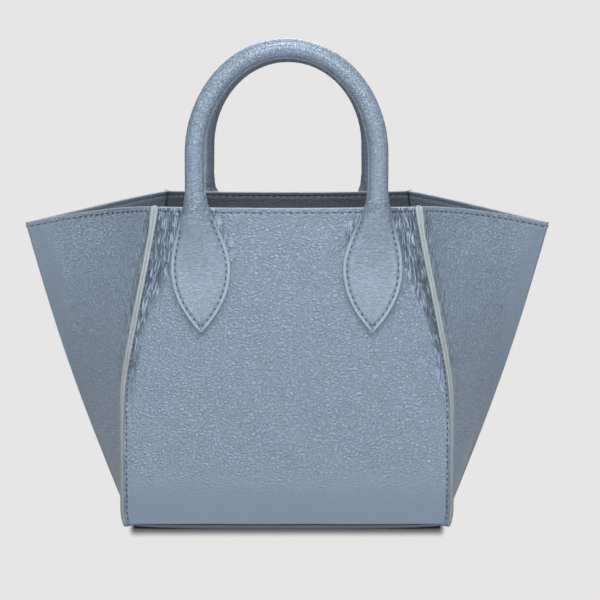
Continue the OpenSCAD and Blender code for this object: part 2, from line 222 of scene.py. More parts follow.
floor_paint, tree, matte = new_material("floor")
matte.inputs["Roughness"].default_value = 0.9
matte.inputs["Specular IOR Level"].default_value = 0.1
spot = vector_calc(tree, "ABSOLUTE", add_node(tree, "TexCoord", "Object"))
outside = vector_calc(tree, "MAXIMUM", vector_calc(tree, "SUBTRACT", spot, SOLE_HALF), (0, 0, 0))
away = vector_calc(tree, "LENGTH", stretch(tree, outside, ENDS_FASTER))
fade = ramp(tree, away, FADE_FROM, FADE_TO)
camera_ray = add_node(tree, "LightPath", "Is Camera Ray")
plug(tree, matte.inputs["Base Color"], mix_colour(tree, camera_ray, FLOOR_TONE, NEAR_TONE))
glow = add_node(tree, "Emission", "Emission", Color=PAGE)
seen = mix_shaders(tree, calc(tree, "MULTIPLY", camera_ray, fade), matte.outputs["BSDF"], glow)
plug(tree, tree.nodes["Material Output"].inputs["Surface"], seen)
floor_mesh.materials.append(floor_paint)
print(f"the floor fades from {FADE_FROM / MM:.0f} to {FADE_TO / MM:.0f} mm off the sole")

# %% [markdown]
# ## Sizes and seam lines
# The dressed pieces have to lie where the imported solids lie, so they are formed over the same
# curves. The sizes below are millimetres. Those that the frame can give are read from its boxes.

# %% Driving sizes
def top_of(node):
    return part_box(node)[1].z / MM


def foot_of(node):
    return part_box(node)[0].z / MM


LEATHER_T, LINING_T, GLUE = 1.6, 1.0, 0.1
BODY_H = top_of("front_facing")
FOOT_Z = foot_of("front_panel")
BASE_W, BASE_D = 190, 116
MOUTH_W, MOUTH_D = 154, 112
RIM_DIP, WALL_CROWN = 0.8, 2.0
BEND_Z, BEND_SPREAD = 77, 1.22
CORNER_TUCK, TUCK_H = 3, 12
FIN_W, FIN_LOW, FIN_HIGH = 3.4, 20, 86
FIN_RISE, BACK_RISE, LIFT_RUN = 1.1, -0.1, 12
FIN_TURNS = (0.25, 0.66)
TIP_DROP, WING_DROOP, WING_PINCH = 14.5, 1.3, 0.65
CREASE_OUT, CREASE_BOW, CREASE_FULL = 7.5, 3.3, 0.64
FACING_H = BODY_H - foot_of("front_facing")
TIP_Z = BODY_H - TIP_DROP
TIP_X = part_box("right_gusset")[1].x / MM - LEATHER_T - CREASE_FULL
print(f"rim {BODY_H:.1f}, foot {FOOT_Z:.1f}, wing tip {TIP_X:.1f}, facing {FACING_H:.1f}")

# %% Small helpers for shapes
def lerp(a, b, t):
    return a + (b - a) * t


def clamp01(t):
    return max(0.0, min(1.0, t))


def ease(t):
    t = clamp01(t)
    return t * t * (3 - 2 * t)


def ease_between(low, high, x):
    return ease((x - low) / (high - low))


def bell(x, middle, width):
    return math.exp(-(((x - middle) / width) ** 2))


# %% [markdown]
# ## The corner seam
# Wall and gusset meet in a line that stands upright at first and then leans in towards the mouth.
# Their spare edges run on together as a narrow fin. It lies nearly flat at the foot, turns to
# stand straight out at the rim, and at the front rises a little above the hem.

# %% Line and fin of a corner
def lean_in(z):
    run = BEND_SPREAD * (BODY_H - BEND_Z)
    return ease((z - BEND_Z) / run) / ease(1 / BEND_SPREAD)


def seam_x(z):
    tuck = CORNER_TUCK * (1 - clamp01(z / TUCK_H)) ** 2
    return lerp(BASE_W, MOUTH_W, lean_in(z)) / 2 - tuck


def seam_y(z):
    return lerp(BASE_D, MOUTH_D, z / BODY_H) / 2


def seam(z):
    return Vector((seam_x(z), -seam_y(z)))


def fin_dir(z):
    turn = ease_between(*FIN_TURNS, z / BODY_H)
    angle = math.radians(lerp(FIN_LOW, FIN_HIGH, turn))
    return Vector((math.cos(angle), -math.sin(angle)))


def fin_lift(z, at_back=False):
    rise = BACK_RISE if at_back else FIN_RISE
    return rise * ease((z - BODY_H + LIFT_RUN) / LIFT_RUN)


def row_z(v, drop=0.0):
    return lerp(FOOT_Z, BODY_H - drop, v)


def mitre(a, b):
    return (a + b) / (1 + a.dot(b))


print("corner seam from the middle, at foot, bend and rim:",
      [round(seam_x(z), 1) for z in (FOOT_Z, BEND_Z, BODY_H)])

# %% [markdown]
# ## Cutting and forming a sheet
# A leather panel starts flat. Here a sheet is a bmesh grid with one column for each cut in a list
# and one row for each height share, so that the columns can crowd where a fold or a pucker needs
# them. Forming moves each point to its place on the bag, and embossing then raises or sinks it
# along the surface normal, as a last or a press does. A flat map in metres keeps the grain even.

# %% Rows and columns
def spread(low, high, count):
    return [lerp(low, high, i / count) for i in range(count + 1)]


def crowded(t, crowd=0.25):
    """t from 0 to 1, with steps that get shorter towards 1."""
    return t * (1 + crowd) - crowd * t**3


def join_runs(*runs):
    cuts = list(runs[0])
    for run in runs[1:]:
        cuts += run[1:]
    return cuts


# %% Cut, form, emboss
def cut_sheet(cuts, rows):
    bm = bmesh.new()
    bmesh.ops.create_grid(bm, x_segments=len(cuts) - 1, y_segments=len(rows) - 1, size=1)
    bm.verts.ensure_lookup_table()
    where = [(cut, row) for row in rows for cut in cuts]
    return bm, where


def form_sheet(bm, where, shape):
    for vert, (cut, row) in zip(bm.verts, where):
        vert.co = shape(cut, row) * MM
    bm.normal_update()


def emboss(bm, where, relief):
    for vert, (cut, row) in zip(bm.verts, where):
        vert.co += vert.normal * relief(cut, row, vert.co / MM) * MM
    bm.normal_update()


# %% Flat map and point marks
def map_flat(bm, flat_places):
    layer = bm.loops.layers.uv.new("flat")
    for face in bm.faces:
        for loop in face.loops:
            loop[layer].uv = flat_places[loop.vert.index]


def paint_points(bm, name, amounts):
    layer = bm.verts.layers.float.new(name)
    for vert, amount in zip(bm.verts, amounts):
        vert[layer] = amount


# %% Turn a bmesh into a piece that rides on a body
def make_piece(name, bm, material, body, replaced=()):
    mesh = bpy.data.meshes.new(name)
    bm.to_mesh(mesh)
    bm.free()
    mesh.materials.append(material)
    mesh.shade_smooth()
    piece = bpy.data.objects.new(name, mesh)
    scene.collection.objects.link(piece)
    if body:
        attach(piece, body)
    if replaced:
        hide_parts(*replaced)
    print(f"{name}: {len(mesh.vertices)} points, {len(mesh.polygons)} faces")
    return piece


def mirror_sheet(bm, x_sign, y_sign):
    """Mirrors a sheet and keeps the outer side of its faces outside."""
    bmesh.ops.scale(bm, vec=(x_sign, y_sign, 1), verts=bm.verts)
    if x_sign * y_sign < 0:
        bmesh.ops.reverse_faces(bm, faces=bm.faces)


def thicken(piece, thickness):
    wall = piece.modifiers.new("thickness", "SOLIDIFY")
    wall.thickness = thickness * MM
    wall.offset = -1


# %% [markdown]
# ## Leather
# Full-grain leather with a drummed grain is a field of uneven pebbles with narrow valleys between
# them. A voronoi texture read as the distance to the nearest cell edge gives just that, once its
# coordinates wander. Where the leather is gathered, long fine folds take the place of the pebbles,
# so a point attribute called gather fades one into the other, and the valleys of the folds get
# painted shade. Two more point attributes mark where the grain is pressed smooth, where the
# colour is also darkened as painted shade, and where shade in a valley or under a lap is painted
# into the colour. The tops of the grain are painted a little paler and its valleys deeper: painted
# light and shade on the grain.

# %% Height of the grain and of its folds
WANDER = 0.0022
WORN_LEVEL, FOLD_HEIGHT = 0.42, 1.3


def point_mark(tree, name):
    return add_node(tree, "Attribute", "Fac", {"attribute_name": name})


def leather_height(tree, flat, pebble, fold):
    """Sizes in millimetres. The flat map is in metres, so a scale is 1000 over a size.

    fold is the size of a gathered fold, and its way: under 1 upright, over 1 across."""
    wander = add_node(tree, "TexNoise", "Color", Vector=flat, Scale=420.0, Detail=2.0)
    pushed = vector_calc(tree, "MULTIPLY_ADD", wander, (WANDER, WANDER, 0), flat)
    uneven = stretch(tree, pushed, (0.82, 1.2, 1.0))
    edge = add_node(tree, "TexVoronoi", "Distance", {"feature": "DISTANCE_TO_EDGE"},
                    Vector=uneven, Scale=1000 / pebble)
    lumps = add_node(tree, "TexNoise", "Fac", Vector=uneven, Scale=1250 / pebble, Detail=2.0)
    fine = add_node(tree, "TexNoise", "Fac", Vector=flat, Scale=2600.0, Detail=3.0)
    pebbles = calc(tree, "ADD", calc(tree, "MULTIPLY", ramp(tree, edge, 0.0, 0.3), 0.55),
                   calc(tree, "MULTIPLY", ramp(tree, lumps, 0.3, 0.7), 0.45))
    pebbles = mix_value(tree, point_mark(tree, "worn_and_shaded"), pebbles, WORN_LEVEL)

    fold_size, fold_way = fold
    along = stretch(tree, pushed, (1.0, fold_way, 1.0) if fold_way < 1 else (1 / fold_way, 1.0, 1.0))
    folds = add_node(tree, "TexNoise", "Fac", Vector=along, Scale=1000 / fold_size, Detail=2.0)
    ridges = ramp(tree, calc(tree, "ABSOLUTE", calc(tree, "SUBTRACT", folds, 0.5)), 0.0, 0.1)
    steep = calc(tree, "MULTIPLY", ridges, FOLD_HEIGHT)
    height = mix_value(tree, point_mark(tree, "gather"), pebbles, steep)
    return calc(tree, "ADD", height, calc(tree, "MULTIPLY", fine, 0.06)), ridges


# %% Dye of the leather, with painted light and shade
GRAIN_TOP_LIGHT_TONE, GRAIN_VALLEY_SHADE_TONE, CLOUD_TONE = 1.1, 0.72, 0.88
FOLD_SHADE_TONE, WORN_SHADE_TONE = 0.3, 0.6
PAINTED_SHADE_TONE, PAINTED_SHADE_DEPTH = 0.25, 0.72


def shade(colour, factor):
    return (*[channel * factor for channel in colour], 1)


def leather_dye(tree, flat, colour, height, ridges):
    """Each mark pulls the colour towards a share of it. All but the random clouds are painted light
    and shade.
    """
    cloud = add_node(tree, "TexNoise", "Fac", Vector=flat, Scale=26.0, Detail=3.0)
    # Tops of the grain painted paler and its valleys deeper: painted light and shade on the grain.
    raised = ramp(tree, height, 0.1, 0.95)
    dyed = mix_colour(tree, raised, shade(colour, GRAIN_VALLEY_SHADE_TONE), shade(colour, GRAIN_TOP_LIGHT_TONE))
    dyed = mix_colour(tree, ramp(tree, cloud, 0.35, 0.65, 0.0, 0.3), dyed, shade(colour, CLOUD_TONE))
    # Painted shade in the valleys of gathered folds.
    in_fold = ramp(tree, ridges, 0.0, 0.7, 0.6, 0.0)
    valley = calc(tree, "MULTIPLY", point_mark(tree, "gather"), in_fold)
    dyed = mix_colour(tree, valley, dyed, shade(colour, FOLD_SHADE_TONE))
    # Where the grain is smooth the colour is pulled darker: painted shade low on the walls and along
    # the wing creases, and the same darker tone on the smooth sole.
    dyed = mix_colour(tree, point_mark(tree, "worn_and_shaded"), dyed, shade(colour, WORN_SHADE_TONE))
    # Painted shade in pucker valleys and on the lapped side of a handle's roll.
    shaded = calc(tree, "MULTIPLY", point_mark(tree, "painted_shade"), PAINTED_SHADE_DEPTH)
    return mix_colour(tree, shaded, dyed, shade(colour, PAINTED_SHADE_TONE))


# %% The leather recipe
PAINT_ROUGHNESS = 0.36


def leather(name, colour, pebble, relief, roughness, fold=(1.5, 0.13), paint=None, coat=0.0):
    material, tree, shader = new_material(name)
    flat = add_node(tree, "UVMap", "UV", {"uv_map": "flat"})
    height, ridges = leather_height(tree, flat, pebble, fold)
    bump = add_node(tree, "Bump", "Normal", Height=height, Strength=1.0, Distance=relief * MM)
    dyed = leather_dye(tree, flat, colour, height, ridges)
    rough = ramp(tree, height, 0.1, 0.95, roughness + 0.16, roughness)
    if paint:
        dyed = mix_colour(tree, point_mark(tree, "paint"), dyed, (*paint, 1))
        rough = mix_value(tree, point_mark(tree, "paint"), rough, PAINT_ROUGHNESS)
    plug(tree, shader.inputs["Normal"], bump)
    plug(tree, shader.inputs["Base Color"], dyed)
    plug(tree, shader.inputs["Roughness"], rough)
    shader.inputs["Specular IOR Level"].default_value = 0.6
    shader.inputs["Coat Weight"].default_value = coat
    shader.inputs["Coat Roughness"].default_value = 0.28
    return material


# %% Colours of this bag
BLUE = (0.235, 0.312, 0.415)
HANDLE_BLUE = (0.215, 0.287, 0.383)
SHADED_SLATE = (0.03, 0.045, 0.068)
PALE_EDGE = (0.31, 0.355, 0.375)
TAB_PAINT = (0.285, 0.36, 0.445)
RIM_PAINT = (0.25, 0.295, 0.34)

# %% Its leathers
body_leather = leather("body_leather", BLUE, 1.9, 0.9, 0.33, fold=(1.6, 0.16))
handle_leather = leather("handle_leather", HANDLE_BLUE, 1.6, 0.3, 0.31, fold=(1.1, 3.0),
                         paint=TAB_PAINT, coat=0.4)
# Both facings are darker than the body leather: the wall facings' dark slate is partly their own
# colour and partly painted shade of the deep mouth, and the wing facings are the body blue darkened as
# painted shade.
facing_leather = leather("facing_leather", SHADED_SLATE, 1.7, 0.2, 0.5)
wing_facing_leather = leather("wing_facing_leather", shade(BLUE, 0.48)[:3], 1.7, 0.25, 0.45)
base_leather = leather("base_leather", shade(BLUE, 0.35)[:3], 2.0, 0.12, 0.5)
print("nodes in the body leather:", len(body_leather.node_tree.nodes))

# %% [markdown]
# ## Edge paint, thread and the hidden stiffeners
# Cut leather edges are sanded and sealed with several coats of paint, which dries to a rounded,
# slightly uneven bead. The thread is a waxed twisted cord, darker than the leather. Board and foam
# never show, but every piece gets a finish of its own.

# %% Plain finishes with a fine texture
FOOT_SHADE_TO = 0.17


def grainy(name, colour, scale, relief, roughness, depth=0.15, shade_at_foot=1.0):
    """The last argument is the painted shade at the table, how dark the finish is there. It fades out
    over the height set just above.
    """
    material, tree, shader = new_material(name)
    place = add_node(tree, "TexCoord", "Object")
    pattern = add_node(tree, "TexNoise", "Fac", Vector=place, Scale=scale, Detail=3.0)
    tone = mix_colour(tree, pattern, shade(colour, 1 - depth), shade(colour, 1 + depth))
    up = add_node(tree, "SeparateXYZ", "Z", Vector=place)
    tone = mix_colour(tree, ramp(tree, up, 0.0, FOOT_SHADE_TO), shade(colour, shade_at_foot), tone)
    rough = ramp(tree, pattern, 0.2, 0.8, roughness + 0.08, roughness - 0.05)
    plug(tree, shader.inputs["Base Color"], tone)
    plug(tree, shader.inputs["Roughness"], rough)
    bump = add_node(tree, "Bump", "Normal", Height=pattern, Strength=1.0, Distance=relief * MM)
    plug(tree, shader.inputs["Normal"], bump)
    return material


# The corner beads are darker towards the table as painted shade.
edge_paint = grainy("edge_paint", PALE_EDGE, 420.0, 0.12, 0.34, shade_at_foot=0.62)
rim_paint = grainy("rim_paint", RIM_PAINT, 420.0, 0.1, 0.42)
thread = grainy("thread", (0.035, 0.05, 0.08), 1600.0, 0.1, 0.6, depth=0.3)
pale_thread = grainy("pale_thread", (0.12, 0.15, 0.19), 1600.0, 0.1, 0.6, depth=0.3)
board = grainy("board", (0.42, 0.36, 0.26), 300.0, 0.1, 0.8)
foam = grainy("foam", (0.7, 0.68, 0.62), 900.0, 0.2, 0.9)

# %% Cloth of the lining and the pocket
def cloth(name, colour, rib):
    """A fine twill: two sets of diagonal ribs, in millimetres."""
    material, tree, shader = new_material(name)
    flat = add_node(tree, "UVMap", "UV", {"uv_map": "flat"})
    rise = add_node(tree, "TexWave", "Fac", {"bands_direction": "DIAGONAL"}, Vector=flat,
                    Scale=160 / rib, Distortion=0.6, Detail=1.0)
    slub = add_node(tree, "TexNoise", "Fac", Vector=stretch(tree, flat, (1.0, 0.3, 1.0)), Scale=900.0)
    height = calc(tree, "ADD", calc(tree, "MULTIPLY", rise, 0.6), calc(tree, "MULTIPLY", slub, 0.4))
    tone = mix_colour(tree, height, shade(colour, 0.75), shade(colour, 1.2))
    plug(tree, shader.inputs["Base Color"], tone)
    shader.inputs["Roughness"].default_value = 0.85
    shader.inputs["Sheen Weight"].default_value = 0.25
    bump = add_node(tree, "Bump", "Normal", Height=height, Strength=1.0, Distance=0.12 * MM)
    plug(tree, shader.inputs["Normal"], bump)
    return material


lining_cloth = cloth("lining_cloth", (0.075, 0.1, 0.135), 0.7)

# %% [markdown]
# ## Puckers, hems and the foot
# Where the wall is pinched into the corner seam near the rim, the spare leather gathers into
# upright folds with sharp valleys. The absolute value of smooth noise has that form: round tops
# that meet in creases. Noise stretched upward gives long folds that wander and die out.

# %% Relief shared by the leather pieces
def creases(across, up, seed):
    """0 on a crease and up to about 1 on the round tops between creases."""
    return min(1.0, 2.6 * abs(noise.noise(Vector((across, up, seed)))))


def gathered(across, z, seed):
    """About -0.5 in the sharp valleys of gathered leather and 0.5 on its round folds."""
    wander = 1.5 * noise.noise(Vector((across / 14, z / 22, seed + 3.1)))
    wide = creases((across + wander) / 3.6, z / 34, seed)
    fine = creases((across + wander) / 1.9, z / 22, seed + 7.7)
    return 0.62 * wide + 0.38 * fine - 0.5


def valley_shade_of(folds):
    """How much painted shade a valley gets, from 0 to 1."""
    return 1 - ease_between(-0.42, -0.12, folds)


def side_of(cut):
    return -1 if cut < 0 else 1


# %% Hem at the rim
HEM_STITCH = 2.5
HEM_LIP, HEM_GROOVE, HEM_SHOULDER = 0.2, 0.42, 0.14
VALLEY_SHADE_FROM = (2.5, 5)


def hem(below):
    """Relief of the turned lip above the hem stitches, and of the groove that they pull in."""
    lip = HEM_LIP * bell(below, 1.1, 0.9)
    groove = HEM_GROOVE * bell(below, HEM_STITCH, 0.5)
    return lip - groove + HEM_SHOULDER * bell(below, 4.3, 1.2)


# %% Sag and roll at the foot
FOOT_SAG, SAG_RUN = 0.8, 9.0
FOOT_ROLL = 1.0


def foot_sag(near_corner, z):
    """The corners hang a little below the middle of a panel's lower edge."""
    return FOOT_SAG * ease_between(0.86, 1, near_corner) * clamp01(1 - (z - FOOT_Z) / SAG_RUN) ** 2


def foot_roll(above):
    """The lower edge of a panel rolls inward."""
    short = clamp01(1 - above / FOOT_ROLL)
    return -FOOT_ROLL * (1 - math.sqrt(1 - short * short))


# %% [markdown]
# ## The walls
# The front and the back are one sheet each, from corner seam to corner seam. At its ends the
# sheet turns outward into a narrow seam allowance, which lies nearly flat at the foot and stands
# straight out at the rim. A quadratic curve rounds the fold between the two directions.

# %% A rounded fold between two straight runs
FOLD_R = 1.5


def round_fold(corner, back, ahead, past, radius=FOLD_R):
    """The point that lies past millimetres beyond a corner, or before it if negative."""
    if past <= -radius:
        return corner + back * -past
    if past >= radius:
        return corner + ahead * past
    t = (past + radius) / (2 * radius)
    start, end = corner + back * radius, corner + ahead * radius
    return start * (1 - t) ** 2 + corner * 2 * t * (1 - t) + end * t * t


def wall_crown(u, z):
    return WALL_CROWN * (1 - u * u) * math.sin(math.pi * clamp01(z / BODY_H))


def wall_height(u, v):
    return row_z(v, RIM_DIP * (1 - u * u) * v**3)


def wall_shape(k, v, out=LEATHER_T, at_back=False):
    """Front wall. k is -1 to 1 between the corner seams and up to 2 along a seam allowance."""
    side = side_of(k)
    u, share = min(abs(k), 1), max(abs(k) - 1, 0)
    z = wall_height(u, v)
    way = fin_dir(z)
    face = Vector((way.y, -way.x))
    root = seam(z)
    corner = root + out * mitre(Vector((0, -1)), face)
    run = root + FIN_W * way + out * face - corner
    past = share * run.length - (1 - u) * corner.x
    p = round_fold(corner, Vector((-1, 0)), run.normalized(), past)
    height = z + fin_lift(z, at_back) * ease(share) - foot_sag(u, z)
    return Vector((side * p.x, p.y - wall_crown(u, z), height))


# %% [markdown]
# ## Gathers and painted shade on the walls
# The puckers crowd beside the corner seams near the rim, and a few fine ones lie between a tab
# and its seam. So the outline of the tabs is worked out here, before the walls are cut. The same
# folds give the relief and the painted shade in their valleys, which keeps the two in step.

# %% Where the handle tabs press on the walls
HANDLE_R = 5.7
HANDLE_SPAN = 107
TAB_W, TAB_LEN, TAB_POINT, TAB_LEAN = 35.3, 74, 39, 3
TAB_FULLNESS = 2.15
FLARE_Z = BODY_H + 13
TAB_TIP_Z = BODY_H - TAB_LEN
WIDE_Z = TAB_TIP_Z + TAB_POINT


def tab_half(z):
    if z < WIDE_Z:
        share = clamp01((z - TAB_TIP_Z) / TAB_POINT)
        return TAB_W / 2 * (1 - (1 - share) ** TAB_FULLNESS)
    return lerp(TAB_W / 2, HANDLE_R, ease_between(WIDE_Z, FLARE_Z, z))


def tab_mid(z):
    return HANDLE_SPAN / 2 - TAB_LEAN * (1 - ease_between(WIDE_Z, FLARE_Z, z))


def tab_gap(x, z):
    """Distance from the side of a tab, along the wall. Negative under the tab."""
    return abs(abs(x) - tab_mid(z)) - tab_half(z)


print(f"tab: {2 * tab_half(WIDE_Z):.1f} at its widest, {2 * tab_half(BODY_H):.1f} at the rim")

# %% Where a wall gathers
GATHER_RISE = (50, 130)
GATHER_LOW_W, GATHER_HIGH_W, GATHER_SPREAD = 7, 25, (115, 180)
BESIDE_TAB, BESIDE_TAB_RISE = 0.6, (148, 180)


def gather_on_wall(u, z):
    x = u * seam_x(z)
    width = lerp(GATHER_LOW_W, GATHER_HIGH_W, ease_between(*GATHER_SPREAD, z))
    at_seam = 1 - ease_between(0.35 * width, width, seam_x(z) - x)
    at_seam *= ease_between(*GATHER_RISE, z)
    if x >= tab_mid(z):
        return at_seam
    beside = (1 - ease_between(1, 7, tab_gap(x, z))) * ease_between(*BESIDE_TAB_RISE, z)
    return max(at_seam, BESIDE_TAB * beside)


def wall_folds(k, z, seed):
    """Folds run beside the nearer corner seam. The two sides draw from far apart in the noise."""
    from_seam = (1 - min(abs(k), 1)) * seam_x(z)
    return gathered(side_of(k) * (from_seam + 40), z, seed)


# %% Relief of a wall
WALL_FOLD, WALL_SWELL = 1.3, 0.5
FIN_GATHER = 0.25


# Painted shade in the valleys of the wall's puckers, fading in below the hem.
def wall_valley_shade(seed):
    def painted_shade(k, v):
        u, z = min(abs(k), 1), row_z(v)
        amount = gather_on_wall(u, z) if abs(k) <= 1 else 0
        below = wall_height(u, 1) - wall_height(u, v)
        return amount * valley_shade_of(wall_folds(k, z, seed)) * ease_between(*VALLEY_SHADE_FROM, below)
    return painted_shade


def wall_relief(seed):
    def relief(k, v, p):
        u = min(abs(k), 1)
        amount = gather_on_wall(u, p.z) if abs(k) <= 1 else FIN_GATHER
        folds = WALL_FOLD * amount * wall_folds(k, p.z, seed)
        swell = WALL_SWELL * noise.noise(Vector((p.x / 48, p.z / 52, seed)))
        below = wall_height(u, 1) - p.z
        edge = hem(below) if abs(k) <= 1 else 0
        calm = ease_between(2.2, 6, below)
        return folds * lerp(0.15, 1, calm) + swell * (1 - u**6) + edge + foot_roll(p.z - FOOT_Z)
    return relief


# %% Cuts and rows of the outer leather
HEM_SHARE = 7.0 / (BODY_H - FOOT_Z)
FOOT_SHARE = 2.4 / (BODY_H - FOOT_Z)
half_wall = [crowded(t) for t in spread(0, 1, 92)]
wall_cuts = join_runs(spread(-2, -1, 9), [-u for u in reversed(half_wall)], half_wall, spread(1, 2, 9))
leather_rows = join_runs(spread(0, FOOT_SHARE, 6), spread(FOOT_SHARE, 1 - HEM_SHARE, 118),
                         spread(1 - HEM_SHARE, 1, 18))
print("wall grid:", len(wall_cuts), "by", len(leather_rows))

# %% Map and mark the walls
FIN_SHOWS_GATHER = 0.4
WALL_WORN_SHADE = (16, 46)


def flat_wall(k, v):
    """Near a seam the map is sheared, so that its upright lines run beside the seam."""
    u, z = min(abs(k), 1), row_z(v)
    across = u * seam_x(z) + (BASE_W / 2 - seam_x(z)) * u**4 + FIN_W * max(abs(k) - 1, 0)
    return (math.copysign(across, k) * MM, z * MM)


def nowhere(cut, row):
    return 0.0


def dress(bm, where, flat, gather=nowhere, painted_shade=nowhere, worn_and_shaded=nowhere):
    map_flat(bm, [flat(cut, row) for cut, row in where])
    paint_points(bm, "gather", [gather(cut, row) for cut, row in where])
    paint_points(bm, "painted_shade", [painted_shade(cut, row) for cut, row in where])
    paint_points(bm, "worn_and_shaded", [worn_and_shaded(cut, row) for cut, row in where])


def wall_gather(k, v):
    return gather_on_wall(abs(k), row_z(v)) if abs(k) <= 1 else FIN_SHOWS_GATHER


def wall_worn_and_shaded(k, v):
    """The grain is pressed smooth near the foot, where the colour is also darkened as painted shade.
    """
    return 0.9 * (1 - ease_between(*WALL_WORN_SHADE, row_z(v)))


# %% Cut and form the walls
WALL_SEED, BACK_SEED = 1.3, 5.9


def make_wall(name, node, seed, at_back):
    bm, where = cut_sheet(wall_cuts, leather_rows)
    form_sheet(bm, where, lambda k, v: wall_shape(k, v, at_back=at_back))
    emboss(bm, where, wall_relief(seed))
    dress(bm, where, flat_wall, wall_gather, wall_valley_shade(seed), wall_worn_and_shaded)
    mirror_sheet(bm, 1, -1 if at_back else 1)
    piece = make_piece(name, bm, body_leather, "bag_body", [node])
    thicken(piece, LEATHER_T - GLUE)


make_wall("front_leather", "front_panel", WALL_SEED, False)
make_wall("back_leather", "back_panel", BACK_SEED, True)

# %% [markdown]
# ## The wings
# A gusset is one sheet too. It leaves the corner seam, runs out to the crease and comes back. Its
# two halves pinch together towards the crease at the rim, and the crease itself is a tight fold:
# the sheet goes round it in a small arc.

# %% Lines of a gusset
CREASE_ARC = 0.03


def crease_x(z):
    up = (z - FOOT_Z) / (TIP_Z - FOOT_Z)
    return lerp(seam_x(FOOT_Z) + CREASE_OUT, TIP_X, up) + CREASE_BOW * math.sin(math.pi * clamp01(up))


def wing_frame(v):
    return seam(row_z(v)), crease_x(row_z(v, TIP_DROP)), WING_PINCH * ease(v)


def wing_way(at, t):
    root, crease, pinch = at
    return Vector((crease - root.x, -root.y * (1 + pinch - 2 * pinch * t))).normalized()


def wing_flesh(at, t, out):
    root, crease, pinch = at
    way = wing_way(at, t)
    middle = Vector((lerp(root.x, crease, t), root.y * (1 - t) * (1 - pinch * t)))
    return middle + out * Vector((way.y, -way.x))


def wing_length(at):
    root, crease, _ = at
    return Vector((crease - root.x, root.y)).length


def wing_height(t, v):
    return row_z(v, TIP_DROP * t**WING_DROOP)


def wing_share(m):
    """How far a cut is on the way from the corner seam to the crease, and round its arc."""
    near = min(abs(m), 1)
    return clamp01((1 - near) / (1 - CREASE_ARC)), clamp01(1 - near / CREASE_ARC)


# %% Shape of a gusset
def wing_shape(m, v, out=LEATHER_T):
    """Right gusset. m is 0 on the crease, 1 at a corner seam, 2 at the seam allowance's edge."""
    back = side_of(m)
    at = wing_frame(v)
    t, turn = wing_share(m)
    if turn > 0:
        way = wing_way(at, 1)
        angle = math.atan2(way.x, way.y) * (1 - turn)
        reach = out + CREASE_FULL * turn
        p = Vector((at[1] + reach * math.cos(angle), -reach * math.sin(angle)))
        return Vector((p.x, -back * p.y, wing_height(1, v)))
    share = max(abs(m) - 1, 0)
    z = row_z(v)
    way = fin_dir(z)
    face = Vector((-way.y, way.x))
    start = wing_way(at, 0)
    corner = at[0] + out * mitre(Vector((start.y, -start.x)), face)
    run = at[0] + FIN_W * way + out * face - corner
    length = wing_length(at)
    skipped = (corner - wing_flesh(at, 0, out)).dot(start) / length
    if share > 0:
        p = round_fold(corner, start, run.normalized(), share * run.length)
    elif t * length < FOLD_R:
        p = round_fold(corner, start, run.normalized(), -t * length)
    else:
        p = wing_flesh(at, skipped + (1 - skipped) * t, out)
    height = wing_height(t, v) + fin_lift(z, back < 0) * ease(share) - foot_sag(1 - t, z)
    return Vector((p.x, -back * p.y, height))


# %% Where a wing gathers
WING_GATHER, WING_GATHER_RISE, WING_GATHER_W = 0.75, (60, 130), (2, 9)


def gather_on_wing(m, v):
    t, turn = wing_share(m)
    from_seam = t * (wing_frame(v)[1] - seam_x(row_z(v)))
    height = ease_between(*WING_GATHER_RISE, row_z(v))
    return WING_GATHER * height * (1 - ease_between(*WING_GATHER_W, from_seam)) * (1 - turn)


def wing_folds(m, z, seed):
    t = wing_share(m)[0]
    return gathered(side_of(m) * (t * 70 + 90), z, seed)


# %% Relief of a wing
WING_FOLD, WING_SWELL, PILLOW = 0.9, 1.1, 1.3
WING_FIN_GATHER = 0.2


# Painted shade in the valleys of the wing's puckers, fading in below the hem.
def wing_valley_shade(seed):
    def painted_shade(m, v):
        t = wing_share(m)[0]
        amount = gather_on_wing(m, v) if abs(m) <= 1 else 0
        below = wing_height(t, 1) - wing_height(t, v)
        return amount * valley_shade_of(wing_folds(m, row_z(v), seed)) * ease_between(*VALLEY_SHADE_FROM, below)
    return painted_shade


def wing_relief(seed):
    """Each half is a little pillowed. The foot's roll dies out where the crease meets it."""
    def relief(m, v, p):
        t, turn = wing_share(m)
        amount = gather_on_wing(m, v) if abs(m) <= 1 else WING_FIN_GATHER
        folds = WING_FOLD * amount * wing_folds(m, p.z, seed)
        swell = WING_SWELL * noise.noise(Vector((side_of(m) * t * 1.9 + 4, p.z / 60, seed)))
        swell *= (1 - t**3) * ease(4 * t)
        pillow = PILLOW * math.sin(math.pi * t) ** 2
        pillow *= ease(v / 0.25) * (1 - ease_between(0.8, 0.97, v))
        below = wing_height(t, 1) - p.z
        edge = hem(below) if abs(m) <= 1 else 0
        roll = foot_roll(p.z - FOOT_Z) * (1 - ease_between(0.9, 1, t))
        return folds + swell + pillow + edge * (1 - turn) + roll
    return relief


# %% Map and mark the wings
half_wing = [CREASE_ARC + (1 - CREASE_ARC) * crowded(t) for t in spread(0, 1, 84)]
round_crease = spread(-CREASE_ARC, CREASE_ARC, 8)
wing_cuts = join_runs(spread(-2, -1, 9), [-m for m in reversed(half_wing)], round_crease,
                      half_wing, spread(1, 2, 9))
print("wing grid:", len(wing_cuts), "by", len(leather_rows))
WORN_SHADE_AT_CREASE, WORN_SHADE_AT_FOOT = (0.74, 0.95), (10, 60)


def flat_wing(m, v):
    t = wing_share(m)[0]
    across = (1 - t) * wing_length(wing_frame(v)) + FIN_W * max(abs(m) - 1, 0)
    return (math.copysign(across, m) * MM, row_z(v) * MM)


def wing_gather(m, v):
    return gather_on_wing(m, v) if abs(m) <= 1 else FIN_SHOWS_GATHER


